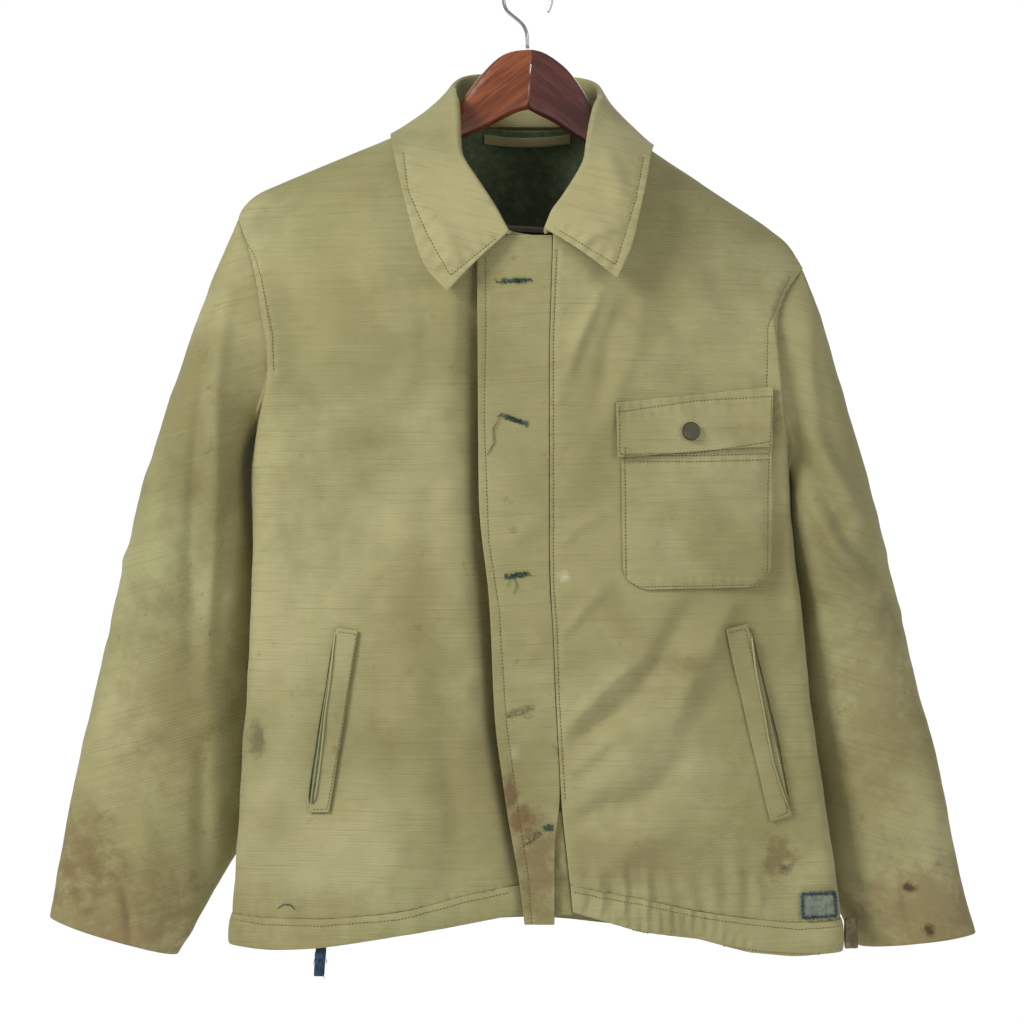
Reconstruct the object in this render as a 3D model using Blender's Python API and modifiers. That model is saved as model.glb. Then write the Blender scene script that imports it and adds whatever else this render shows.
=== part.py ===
# A deck jacket on a wooden hanger, in metres, +Z up, its front facing -Y.
# The origin is the inside of the hook's top, where a rail carries it. Each drop is measured
# down from the top of the hanger's wood. "Right" and "left" are the wearer's, so the right
# front lies on the -X side.
import math

import bmesh
import bpy
import numpy as np
from mathutils import Vector

MM = 0.001
HOOK_TO_WOOD = 62 * MM
SHELL_WALL = 4 * MM
COLLAR_WALL = 3 * MM
FLY_WALL = 3 * MM
POCKET_WALL = 1.6 * MM
BAND_WALL = 5 * MM
SEAM_HALF_GAP = 0.16 * MM
SEAM_GAP = 0.32 * MM

RIGHT_ARMPIT_DROP, LEFT_ARMPIT_DROP = 332 * MM, 372 * MM
NECK_HALF_WIDTH = 77 * MM
FRONT_NECK_DROP, BACK_NECK_DROP = 170 * MM, 63 * MM
SHOULDER_ROUNDING = 240 * MM
NECK_RISE = 95 * MM
ARMPIT_DEPTH, SIDE_DEPTH, SIDE_DEPTH_DROP = -18 * MM, -36 * MM, 480 * MM
ARMHOLE_HALF_DEPTH = {"front": -42 * MM, "back": 50 * MM}
SECTION_POWER, SIDE_POWER = 2.3, 10

ROWS_BELOW_ARMPIT, ROWS_AT_ARMHOLE = 11, 12
SHOULDER_COLUMNS, NECK_COLUMNS = 8, 6
# Where the fronts' middle edges meet the neckline, and how far the right one stops short of the fly's seam.
RIGHT_FRONT_END, LEFT_FRONT_END, RIGHT_FRONT_SHORT = 14 * MM, 21 * MM, 6 * MM

# Shoulder line over the hanger: distance from the middle, and drop, in millimetres.
RIGHT_SHOULDER = {"out": (77, 84, 116, 180, 235, 244, 249), "drop": (61, 64, 77, 103, 126, 134, 147)}
LEFT_SHOULDER = {"out": (77, 84, 106, 155, 200, 225, 237), "drop": (67, 72, 88, 120, 150, 168, 190)}

# Half widths down the sides, armhole edge included.
RIGHT_SIDE = {
    "drop": (147, 175, 200, 240, 272, 290, 330, 358, 380, 406, 440, 508, 538, 581, 634, 681, 738, 770),
    "out": (249, 238, 231, 224, 218, 220, 231, 238, 236, 234, 234, 236, 236, 240, 243, 247, 250, 254),
}
LEFT_SIDE = {
    "drop": (190, 205, 222, 242, 281, 330, 369, 416, 466, 508, 593, 684, 716, 749, 775),
    "out": (237, 225, 215, 211, 214, 218, 223, 226, 231, 235, 244, 259, 264, 267, 268),
}

# Depth of the front and of the back at the middle.
FRONT_DEPTH = {"drop": (60, 160, 300, 500, 740), "deep": (74, 79, 84, 86, 82)}
BACK_DEPTH = {"drop": (60, 160, 300, 500, 740), "deep": (76, 72, 68, 60, 54)}

# The hem: top and bottom of the band across the front, and across the back.
FRONT_HEM = {
    "across": (-254, -218, -173, -107, -48, -15, 37, 60, 93, 143, 184, 224, 266),
    "top": (738, 741, 741, 734, 718, 711, 710, 715, 721, 733, 740, 745, 743),
    "bottom": (764, 769, 766, 754, 743, 736, 733, 740, 750, 757, 769, 774, 771),
}
BACK_HEM = {
    "across": (-254, -120, 0, 130, 266),
    "top": (738, 741, 742, 744, 743),
    "bottom": (764, 767, 766, 769, 771),
}

# The fly: its free edge, the seam that joins it to the left front, and its loose edge at the foot.
FLY_FREE = {
    "drop": (160, 250, 400, 470, 520, 575, 616, 653, 690, 714, 742),
    "across": (-43, -42, -41, -32, -30, -28, -22, -17, -10, -6, -3),
}
FLY_SEAM = {
    "drop": (160, 170, 255, 340, 460, 495, 555, 605, 637, 700, 740),
    "across": (21, 21, 18, 18, 18, 21, 23, 26, 27, 34, 38),
}
FLY_LOOSE = {"drop": (640, 680, 742), "across": (26, 22, 22)}
FLY = {"top": 168, "loose_from": 640, "foot": 742, "loose_lift": 3.5, "columns": 7}
FLY_FACING = {"top": 648, "foot": 735, "inset": 12, "wall": 1.8}

# The right front sinks under the fly: a step at its top, and further down a channel beside it.
CHANNEL = {"depth": 9, "starts": 20, "ends": 4}
FLY_STEP = {"depth": 4.2, "starts": 9, "ends": 3}
CHANNEL_TOP = {"starts": 150, "ends": 235}

# Collar stations from the front end round to the middle of the back: the roll line, then the
# leaf's outer edge.
RIGHT_COLLAR = {
    "roll_x": (-17, -27, -39, -54, -59, -60, -62, -65, -56, -30),
    "roll_y": (-84, -81, -76, -63, -50, -31, -14, 18, 44, 62),
    "roll_drop": (165, 146, 127, 104, 90, 61, 40, 31, 18, 13),
    "edge_x": (-67, -86, -97, -106, -112, -116, -112, -101, -76, -40),
    "edge_y": (-90, -88, -82, -74, -50, -20, 8, 36, 62, 76),
    "edge_drop": (216, 196, 160, 126, 100, 80, 77, 78, 84, 88),
}
LEFT_COLLAR = {
    "roll_x": (15, 21, 30, 48, 51, 55, 60, 63, 58, 30),
    "roll_y": (-84, -81, -76, -62, -49, -31, -14, 18, 44, 62),
    "roll_drop": (162, 147, 135, 105, 89, 65, 46, 36, 22, 15),
    "edge_x": (74, 86, 93, 99, 104, 107, 106, 98, 76, 40),
    "edge_y": (-90, -88, -82, -70, -45, -18, 8, 36, 62, 76),
    "edge_drop": (205, 180, 150, 124, 98, 87, 86, 86, 89, 90),
}
BACK_ROLL, BACK_EDGE = (0, 66, 12), (0, 79, 90)
COLLAR_ROOM = 3.2 * MM

# Sleeve sections from below the shoulder to the cuff: the outer edge, the inner edge, and half
# the depth between them.
RIGHT_SLEEVE = {
    "outer_x": (-262, -279, -297, -313, -330, -345, -362, -380, -394, -402, -406, -409),
    "outer_drop": (178, 222, 272, 320, 380, 440, 510, 594, 660, 700, 726, 745),
    "outer_y": (-4, -6, -8, -10, -11, -10, -10, -12, -12, -12, -12, -12),
    "inner_x": (-231, -234, -235, -232, -228, -224, -222, -226, -244, -262, -284, -300),
    "inner_drop": (331, 346, 368, 402, 444, 490, 552, 632, 684, 712, 750, 779),
    "inner_y": (-12, -4, 8, 19, 29, 36, 40, 36, 26, 16, 6, 0),
    "half_depth": (44, 48, 52, 54, 54, 52, 49, 43, 38, 35, 33, 32),
}
LEFT_SLEEVE = {
    "outer_x": (247, 258, 271, 284, 300, 314, 328, 345, 358, 369, 377, 385),
    "outer_drop": (218, 254, 300, 348, 410, 470, 532, 600, 654, 706, 735, 759),
    "outer_y": (-4, -6, -8, -10, -11, -10, -10, -12, -12, -12, -12, -12),
    "inner_x": (223, 224.4, 224, 221.5, 218, 215, 214, 222, 240, 261, 273, 284),
    "inner_drop": (371, 386, 406, 434, 474, 519, 578, 643, 692, 726, 751, 772),
    "inner_y": (-12, -4, 8, 19, 29, 38, 44, 44, 34, 22, 14, 8),
    "half_depth": (42, 46, 50, 52, 52, 50, 47, 42, 38, 35, 33, 32),
}
SLEEVE_CLEARANCE, SLEEVE_SIDE_ROOM = 2.5 * MM, 4 * MM

COLLECTION = "deck_jacket_on_hanger"


def clear_scene():
    for thing in list(bpy.data.objects):
        bpy.data.objects.remove(thing, do_unlink=True)


def make_material(name, colour, roughness, metallic=0.0):
    material = bpy.data.materials.new(name)
    material.use_nodes = True
    shader = material.node_tree.nodes["Principled BSDF"]
    shader.inputs["Base Color"].default_value = (*colour, 1.0)
    shader.inputs["Roughness"].default_value = roughness
    shader.inputs["Metallic"].default_value = metallic
    return material


def add_object(name, mesh, look):
    thing = bpy.data.objects.new(name, mesh)
    bpy.data.collections[COLLECTION].objects.link(thing)
    mesh.materials.append(make_material(name, *look))
    return thing


def table(columns, key_in, key_out, value):
    """The table's value at a place, both in millimetres there and in metres here."""
    return np.interp(value / MM, columns[key_in], columns[key_out]) * MM


def smooth_step(value, low, high):
    part = min(max((value - low) / (high - low), 0.0), 1.0)
    return part * part * (3 - 2 * part)


# The body's surface

def shoulder_drop(x):
    side = RIGHT_SHOULDER if x < 0 else LEFT_SHOULDER
    return table(side, "out", "drop", abs(x))


def side_half_width(x, drop):
    side = RIGHT_SIDE if x < 0 else LEFT_SIDE
    return table(side, "drop", "out", drop)


def armhole_depth(x, drop, facing):
    """Depth of the side seam below the armpit, and of the armhole's edge above it."""
    shoulder = (RIGHT_SHOULDER if x < 0 else LEFT_SHOULDER)["drop"][-1] * MM
    armpit = RIGHT_ARMPIT_DROP if x < 0 else LEFT_ARMPIT_DROP
    if drop >= armpit:
        return float(np.interp(drop, (armpit, SIDE_DEPTH_DROP), (ARMPIT_DEPTH, SIDE_DEPTH)))
    up = min((armpit - drop) / (armpit - shoulder), 1.0)
    opened = max(math.sin(math.pi * up ** 0.85), 0.0) ** 0.7
    return ARMPIT_DEPTH * (1 - up) + ARMHOLE_HALF_DEPTH[facing] * opened


def body_depth(x, drop, facing):
    """Depth of the outer cloth at a place across the jacket and down it."""
    across = min(abs(x) / side_half_width(x, drop), 1.0)
    below = drop - shoulder_drop(x)
    if abs(x) < NECK_HALF_WIDTH:
        below += NECK_RISE * (1 - (x / NECK_HALF_WIDTH) ** 2)
    turn = min(max(below / SHOULDER_ROUNDING, 0.0), 1.0)
    rounding = math.sqrt(1 - (1 - turn) ** 2)
    crown = (1 - across ** SECTION_POWER) ** (1 / SECTION_POWER)
    deep = table(FRONT_DEPTH if facing == "front" else BACK_DEPTH, "drop", "deep", drop)
    side = armhole_depth(x, drop, facing) * across ** SIDE_POWER
    return side + (-deep if facing == "front" else deep) * crown * rounding


def body_point(x, drop, facing):
    return np.array((x, body_depth(x, drop, facing), -HOOK_TO_WOOD - drop))


def channel(x, drop):
    """How far the right front sinks beside and under the fly."""
    edge = table(FLY_FREE, "drop", "across", drop)
    below_top = smooth_step(drop, CHANNEL_TOP["starts"] * MM, CHANNEL_TOP["ends"] * MM)
    sunk = 0.0
    for shape, share in ((CHANNEL, below_top), (FLY_STEP, 1 - below_top)):
        low, high = edge - shape["starts"] * MM, edge - shape["ends"] * MM
        sunk += shape["depth"] * MM * share * smooth_step(x, low, high)
    return sunk


def neck_drop(x, facing):
    """The neckline of a panel, which meets the shoulder line at the side of the neck."""
    lowest = FRONT_NECK_DROP if facing == "front" else BACK_NECK_DROP
    corner = shoulder_drop(math.copysign(NECK_HALF_WIDTH, x))
    return lowest + (corner - lowest) * (abs(x) / NECK_HALF_WIDTH) ** 2.4


def top_drop(x, facing):
    return shoulder_drop(x) if abs(x) >= NECK_HALF_WIDTH else neck_drop(x, facing)


# Grids of points, and the walls made from them

def grid_normals(grid):
    along = np.gradient(grid, axis=0)
    across = np.gradient(grid, axis=1)
    normals = np.cross(across, along)
    return normals / np.linalg.norm(normals, axis=2, keepdims=True)


def wall_mesh(name, outer, inner, ring=False):
    """One closed wall between two grids. A ring joins its last column to its first."""
    rows, columns = outer.shape[:2]
    shape = bmesh.new()
    made = [[[shape.verts.new(point) for point in row] for row in grid] for grid in (outer, inner)]
    out, back = made
    last = columns if ring else columns - 1
    for r in range(rows - 1):
        for c in range(last):
            d = (c + 1) % columns
            shape.faces.new((out[r][c], out[r][d], out[r + 1][d], out[r + 1][c]))
            shape.faces.new((back[r][c], back[r + 1][c], back[r + 1][d], back[r][d]))
    for c in range(last):
        d = (c + 1) % columns
        shape.faces.new((out[0][c], back[0][c], back[0][d], out[0][d]))
        shape.faces.new((out[-1][c], out[-1][d], back[-1][d], back[-1][c]))
    if not ring:
        for r in range(rows - 1):
            shape.faces.new((out[r][0], out[r + 1][0], back[r + 1][0], back[r][0]))
            shape.faces.new((out[r][-1], back[r][-1], back[r + 1][-1], out[r + 1][-1]))
    bmesh.ops.recalc_face_normals(shape, faces=shape.faces)
    bmesh.ops.triangulate(shape, faces=shape.faces, quad_method="SHORT_EDGE")
    mesh = bpy.data.meshes.new(name)
    shape.to_mesh(mesh)
    shape.free()
    mesh.shade_smooth()
    mesh.set_sharp_from_angle(angle=math.radians(50))
    return mesh


def pulled_in(grid, edges, gap=SEAM_HALF_GAP):
    """The grid with the named edges drawn back along the cloth, to leave a seam's gap."""
    grid = grid.copy()
    places = {"bottom": (0, 1), "top": (-1, -2)}
    for edge in edges:
        if edge in places:
            at, beside = places[edge]
            step = grid[beside] - grid[at]
            grid[at] += gap * step / np.linalg.norm(step, axis=1, keepdims=True)
        else:
            at, beside = (0, 1) if edge == "first" else (-1, -2)
            step = grid[:, beside] - grid[:, at]
            grid[:, at] += gap * step / np.linalg.norm(step, axis=1, keepdims=True)
    return grid


# Body panels

def row_shares():
    """Height of each row on the right side and on the left one, 0 at the hem and 1 on the shoulder."""
    shares = []
    for side, hem, armpit, shoulder in (
        ("right", FRONT_HEM["top"][0] * MM, RIGHT_ARMPIT_DROP, RIGHT_SHOULDER["drop"][-1] * MM),
        ("left", FRONT_HEM["top"][-1] * MM, LEFT_ARMPIT_DROP, LEFT_SHOULDER["drop"][-1] * MM),
    ):
        at_armpit = (hem - armpit) / (hem - shoulder)
        below = [at_armpit * r / ROWS_BELOW_ARMPIT for r in range(ROWS_BELOW_ARMPIT)]
        turns = [math.sin(math.pi / 2 * r / ROWS_AT_ARMHOLE) for r in range(ROWS_AT_ARMHOLE + 1)]
        shares.append(below + [at_armpit + (1 - at_armpit) * turn for turn in turns])
    return shares


def shoulder_places():
    """Where columns meet the shoulder lines, closer together towards the armhole."""
    right, left = RIGHT_SHOULDER["out"][-1] * MM, LEFT_SHOULDER["out"][-1] * MM
    turns = [math.sin(math.pi / 2 * c / SHOULDER_COLUMNS) for c in range(SHOULDER_COLUMNS + 1)]
    return (
        [-NECK_HALF_WIDTH - (right - NECK_HALF_WIDTH) * turn for turn in reversed(turns)],
        [NECK_HALF_WIDTH + (left - NECK_HALF_WIDTH) * turn for turn in turns],
    )


def panel_grid(facing, places, middle_edge=None):
    """Outer points of a panel whose columns reach its top at these places. A front ends at middle_edge."""
    right_wide, left_wide = RIGHT_SHOULDER["out"][-1] * MM, LEFT_SHOULDER["out"][-1] * MM
    hem = FRONT_HEM if facing == "front" else BACK_HEM
    hem_right, hem_left = hem["top"][0] * MM, hem["top"][-1] * MM
    hem_edges = (-side_half_width(-1, hem_right), side_half_width(1, hem_left))
    ends = sorted((places[0], places[-1]), key=abs)
    side = 0 if ends[1] < 0 else 1
    rows = []
    for right_share, left_share in zip(*row_shares()):
        right_drop = hem_right + (RIGHT_SHOULDER["drop"][-1] * MM - hem_right) * right_share
        left_drop = hem_left + (LEFT_SHOULDER["drop"][-1] * MM - hem_left) * left_share
        edges = (-side_half_width(-1, right_drop), side_half_width(1, left_drop))
        row = []
        for place in places:
            part = (place + right_wide) / (right_wide + left_wide)
            share = right_share + (left_share - right_share) * part
            if middle_edge is None:
                foot = hem_edges[0] + (hem_edges[1] - hem_edges[0]) * part
            else:
                toward = (place - ends[1]) / (ends[0] - ends[1])
                foot = hem_edges[side] + (middle_edge(hem_left) - hem_edges[side]) * toward
            drop = table(hem, "across", "top", foot) * (1 - share) + top_drop(place, facing) * share
            if middle_edge is None:
                x = edges[0] + (edges[1] - edges[0]) * part
            else:
                whole = hem_edges[0] + (hem_edges[1] - hem_edges[0]) * part
                level = table(hem, "across", "top", whole) * (1 - share) + top_drop(place, facing) * share
                x = edges[side] + (middle_edge(level) - edges[side]) * toward
            row.append(body_point(x, drop, facing))
        rows.append(row)
    return np.array(rows)


def outward(grid, facing):
    return grid_normals(grid) * (1 if facing == "front" else -1)


def build_body():
    right_places, left_places = shoulder_places()
    columns = range(1 - NECK_COLUMNS, NECK_COLUMNS)
    neck = [NECK_HALF_WIDTH * math.sin(math.pi / 2 * c / NECK_COLUMNS) for c in columns]
    half = NECK_COLUMNS - 1
    front_right = panel_grid(
        "front", right_places + neck[:half] + [RIGHT_FRONT_END],
        lambda drop: table(FLY_SEAM, "drop", "across", drop) - RIGHT_FRONT_SHORT)
    front_left = panel_grid(
        "front", [LEFT_FRONT_END] + neck[half + 2:] + left_places,
        lambda drop: table(FLY_SEAM, "drop", "across", drop))
    back = panel_grid("back", right_places + neck + left_places)
    for row in front_right:
        for point in row:
            point[1] += channel(point[0], -HOOK_TO_WOOD - point[2])

    armpit_row = ROWS_BELOW_ARMPIT
    back[:armpit_row + 1, 0] = front_right[:armpit_row + 1, 0]
    back[:armpit_row + 1, -1] = front_left[:armpit_row + 1, -1]
    normals = {
        "front_right": outward(front_right, "front"),
        "front_left": outward(front_left, "front"),
        "back_panel": outward(back, "back"),
    }
    wide = SHOULDER_COLUMNS + 1
    share_normals(normals["front_right"][:armpit_row + 1, 0], normals["back_panel"][:armpit_row + 1, 0])
    share_normals(normals["front_left"][:armpit_row + 1, -1], normals["back_panel"][:armpit_row + 1, -1])
    share_normals(normals["front_right"][-1, :wide], normals["back_panel"][-1, :wide])
    share_normals(normals["front_left"][-1, -wide:], normals["back_panel"][-1, -wide:])
    outers = {"front_right": front_right, "front_left": front_left, "back_panel": back}
    inners = {name: outers[name] - SHELL_WALL * normals[name] for name in outers}
    look = ((0.36, 0.34, 0.16), 0.85)
    sides = {"front_right": ("first",), "front_left": ("last", "first"), "back_panel": ("first", "last")}
    for name, edges in sides.items():
        grids = [pulled_in(grid, ("top", "bottom") + edges) for grid in (outers[name], inners[name])]
        add_object(name, wall_mesh(name, *grids), look)
    build_sleeve("sleeve_right", RIGHT_SLEEVE, outers, inners, "front_right", 0)
    build_sleeve("sleeve_left", LEFT_SLEEVE, outers, inners, "front_left", -1)


def share_normals(first, second):
    both = first + second
    both /= np.linalg.norm(both, axis=1, keepdims=True)
    first[:] = both
    second[:] = both


# Sleeves

def armhole_ring(grids, front, column):
    """Round the armhole: the shoulder, down the front edge, the armpit, and up the back edge."""
    rows = range(ROWS_BELOW_ARMPIT, ROWS_BELOW_ARMPIT + ROWS_AT_ARMHOLE + 1)
    beside = 1 if column == 0 else -2
    edges = {}
    for name in (front, "back_panel"):
        grid = grids[name]
        step = grid[:, column] - grid[:, beside]
        edges[name] = grid[:, column] + SEAM_HALF_GAP * step / np.linalg.norm(step, axis=1, keepdims=True)
    first, second = edges[front], edges["back_panel"]
    top, foot = rows[-1], rows[0]
    ring = [(first[top] + second[top]) / 2]
    ring += [first[r] for r in reversed(rows[1:-1])]
    ring.append((first[foot] + second[foot]) / 2)
    ring += [second[r] for r in rows[1:-1]]
    return np.array(ring)


def sleeve_section(sizes, index, count):
    outer = np.array((sizes["outer_x"][index], sizes["outer_y"][index], -sizes["outer_drop"][index])) * MM
    inner = np.array((sizes["inner_x"][index], sizes["inner_y"][index], -sizes["inner_drop"][index])) * MM
    middle, half = (outer + inner) / 2, (outer - inner) / 2
    down = np.cross(half, (0, 1, 0))
    forward = np.cross(down, half)
    forward *= -math.copysign(1, forward[1]) / np.linalg.norm(forward)
    ring = []
    for c in range(count):
        turn = 2 * math.pi * c / count
        point = middle + half * math.cos(turn) + forward * sizes["half_depth"][index] * MM * math.sin(turn)
        ring.append(behind_body(point))
    ring = np.array(ring)
    ring[:, 2] -= HOOK_TO_WOOD
    return ring


def behind_body(point):
    """The point, moved back where the body's side would reach into it."""
    x, y, drop = point[0], point[1], -point[2]
    armpit = RIGHT_ARMPIT_DROP if x < 0 else LEFT_ARMPIT_DROP
    reach = side_half_width(x, drop) + SLEEVE_SIDE_ROOM
    if drop < armpit or abs(x) >= reach:
        return point
    closer = x * side_half_width(x, drop) / reach
    least = body_depth(closer, drop, "back") + SLEEVE_CLEARANCE
    return np.array((x, max(y, least), point[2]))


def build_sleeve(name, sizes, outers, inners, front, column):
    count = 2 * ROWS_AT_ARMHOLE
    sections = [sleeve_section(sizes, index, count) for index in range(len(sizes["outer_x"]))]
    rings = [armhole_ring(outers, front, column)]
    for here, following in zip(sections, sections[1:]):
        rings.append(here)
        if np.linalg.norm((following - here).mean(axis=0)) > 50 * MM:
            rings.append((here + following) / 2)
    rings.append(sections[-1])
    outer = np.array(rings)
    closed = np.concatenate([outer[:, -1:], outer, outer[:, :1]], axis=1)
    normals = grid_normals(closed)[:, 1:-1]
    away = outer - outer.mean(axis=1, keepdims=True)
    normals *= np.sign((normals * away).sum(axis=2).mean())
    inner = outer - SHELL_WALL * normals
    inner[0] = armhole_ring(inners, front, column)
    add_object(name, wall_mesh(name, outer, inner, ring=True), ((0.33, 0.31, 0.15), 0.85))


# Hem bands

BAND_LEVEL = 750 * MM
BAND_BACK = 1.2 * MM
BAND_UNDER_FLY = 14 * MM
BAND_COLUMNS = {"right": 14, "back": 24}
# The left band's columns are even over its gathers, and closer towards the side.
GATHER_COLUMNS = {"even": 44, "in_whole": 68, "to_side": 9}
GATHER = {"first": 50, "last": 170, "waves": 13, "height": 1.3}
BAND_ROLL = {"down": (0, 0.15, 0.5, 0.85, 1), "proud": (0.2, 1.6, 2.2, 1.6, 0.2)}


def band_grid(facing, parts, ends):
    """The band's outer points, row by row down from the panel's hem. Ends are its edges at a drop."""
    hem = FRONT_HEM if facing == "front" else BACK_HEM
    rows = []
    for down in BAND_ROLL["down"]:
        row = []
        for part in parts:
            low, high = (end(BAND_LEVEL) for end in ends)
            middle = low + (high - low) * part
            top = table(hem, "across", "top", middle) + 2 * SEAM_GAP
            bottom = table(hem, "across", "bottom", middle)
            drop = top + (bottom - top) * down
            low, high = (end(drop) for end in ends)
            row.append(body_point(low + (high - low) * part, drop, facing))
        rows.append(row)
    return np.array(rows[::-1])


def gather(x):
    if not GATHER["first"] * MM < x < GATHER["last"] * MM:
        return 0.0
    along = (x / MM - GATHER["first"]) / (GATHER["last"] - GATHER["first"])
    fade = math.sin(math.pi * along) ** 0.4
    return GATHER["height"] * MM * math.sin(2 * math.pi * GATHER["waves"] * along) * fade


def build_hem():
    def right_side(drop):
        return -side_half_width(-1, drop)

    def left_side(drop):
        return side_half_width(1, drop)

    def under_fly(drop):
        return table(FLY_FREE, "drop", "across", drop) + BAND_UNDER_FLY

    def beside_fly(drop):
        return table(FLY_SEAM, "drop", "across", drop)

    right_columns, back_columns = BAND_COLUMNS["right"], BAND_COLUMNS["back"]
    even, whole, to_side = (GATHER_COLUMNS[key] for key in ("even", "in_whole", "to_side"))
    turned = [1 - math.cos(math.pi / 2 * c / right_columns) for c in range(right_columns + 1)]
    gathered = [c / whole for c in range(even)]
    for c in range(to_side + 1):
        gathered.append(1 - (1 - even / whole) * (1 - math.sin(math.pi / 2 * c / to_side)))
    both = [(1 - math.cos(math.pi * c / back_columns)) / 2 for c in range(back_columns + 1)]
    right = band_grid("front", turned, (right_side, under_fly))
    left = band_grid("front", gathered, (beside_fly, left_side))
    back = band_grid("back", both, (right_side, left_side))
    back[:, 0], back[:, -1] = right[:, 0], left[:, -1]
    normals = {
        "right": outward(right, "front"),
        "left": outward(left, "front"),
        "back": outward(back, "back"),
    }
    share_normals(normals["right"][:, 0], normals["back"][:, 0])
    share_normals(normals["left"][:, -1], normals["back"][:, -1])
    for row in right:
        for point in row:
            point[1] += channel(point[0], -HOOK_TO_WOOD - point[2])
    proud = np.array(BAND_ROLL["proud"][::-1])[:, None, None] * MM
    both_ends = ("first", "last")
    bands = {"right": (right, ("first",)), "left": (left, both_ends), "back": (back, both_ends)}
    for key, (grid, edges) in bands.items():
        inner = grid - (BAND_WALL - BAND_BACK) * normals[key]
        outer = grid + proud * normals[key]
        if key == "left":
            gathers = np.array([[gather(point[0]) for point in row] for row in grid])
            outer += gathers[:, :, None] * normals[key]
        grids = [pulled_in(each, edges) for each in (outer, inner)]
        add_object("hem_" + key, wall_mesh("hem_" + key, *grids), ((0.36, 0.34, 0.17), 0.85))


# Pieces that lie on the fronts

def lying_piece(name, corners, rows, columns, wall, lift, look, shape=None):
    """A wall over the front between four corners. Lift is its distance from the panel, in millimetres, at a
    share across and down."""
    top_left, top_right, bottom_right, bottom_left = (np.array(corner) * MM for corner in corners)
    outer, inner = [], []
    for r in range(rows):
        down = r / (rows - 1)
        outer_row, inner_row = [], []
        for c in range(columns):
            across = c / (columns - 1)
            if shape:
                across = shape(across, down)
            top = top_left + (top_right - top_left) * across
            foot = bottom_left + (bottom_right - bottom_left) * across
            x, drop = top + (foot - top) * down
            raised = lift(across, down) * MM
            outer_row.append(off_front(x, drop, raised + wall))
            inner_row.append(off_front(x, drop, raised))
        outer.append(outer_row)
        inner.append(inner_row)
    return add_object(name, wall_mesh(name, np.array(outer[::-1]), np.array(inner[::-1])), look)


def cloth_normal(x, drop, facing):
    step = 2 * MM
    across = body_point(x + step, drop, facing) - body_point(x - step, drop, facing)
    down = body_point(x, drop + step, facing) - body_point(x, drop - step, facing)
    normal = np.cross(down, across)
    turn = -1 if facing == "front" else 1
    return normal * turn * math.copysign(1, normal[1]) / np.linalg.norm(normal)


def off_front(x, drop, out):
    """A point off the front, out along the cloth's normal."""
    return body_point(x, drop, "front") + cloth_normal(x, drop, "front") * out


def build_fly():
    columns = FLY["columns"]
    loose_from, foot = FLY["loose_from"] * MM, FLY["foot"] * MM
    drops = np.linspace(FLY["top"] * MM, loose_from, 17).tolist()
    drops += np.linspace(loose_from, foot, 6)[1:].tolist()
    facing_drops = np.linspace(FLY_FACING["top"], FLY_FACING["foot"], 7) * MM
    look = ((0.39, 0.37, 0.19), 0.85)
    pieces = {
        "fly": (drops, 0.0, 0.0, FLY_WALL),
        "fly_facing": (
            facing_drops, FLY_FACING["inset"] * MM, -(FLY_WALL + SEAM_GAP), FLY_FACING["wall"] * MM),
    }
    for name, (heights, inset, lift, wall) in pieces.items():
        outer, inner = [], []
        for drop in heights:
            low = table(FLY_FREE, "drop", "across", drop) + inset
            high = table(FLY_SEAM, "drop", "across", drop) - SEAM_GAP
            rise = 0.0
            if name == "fly":
                rise = FLY["loose_lift"] * MM * smooth_step(drop, loose_from, foot)
                if drop > loose_from + SEAM_GAP:
                    high = table(FLY_LOOSE, "drop", "across", drop)
            across = [low + (high - low) * c / (columns - 1) for c in range(columns)]
            outer.append([off_front(x, drop, lift + rise) for x in across])
            inner.append([off_front(x, drop, lift + rise - wall) for x in across])
        mesh = wall_mesh(name, np.array(outer[::-1]), np.array(inner[::-1]))
        add_object(name, mesh, look)


# Corners of each lying piece as (across, drop): top left, top right, bottom right, bottom left as seen.
CHEST_POCKET = ((77.5, 336), (206, 334), (204, 462), (79, 464))
CHEST_FLAP = ((73, 308), (207, 294), (206, 343), (74, 354))
WELT_LEFT = ((165, 497), (184, 493), (221, 654), (203, 659))
WELT_RIGHT = ((-159, 496), (-141, 498), (-166, 650), (-183, 651))
PATCH = ((229, 719), (259, 718), (261, 740), (230, 741))
FLAP_WALL, WELT_WALL, PATCH_WALL = 2.2 * MM, 2.2 * MM, 2.4 * MM
POCKET_CORNER = 0.11
# Lifts in millimetres: at the stitched edge, under the flap's free half, at a welt's mouth, and what the
# front's curve adds towards the side.
LIFT = {"pocket": 0.9, "flap": 0.5, "flap_free": 3.5, "welt": 1.0, "mouth": 3.5, "patch": 1.0, "curve": 2.9}
SNAP = {"across": 134, "drop": 332, "radius": 7.75, "height": 2.6, "lift": 8.4, "edge": 0.9}


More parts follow.
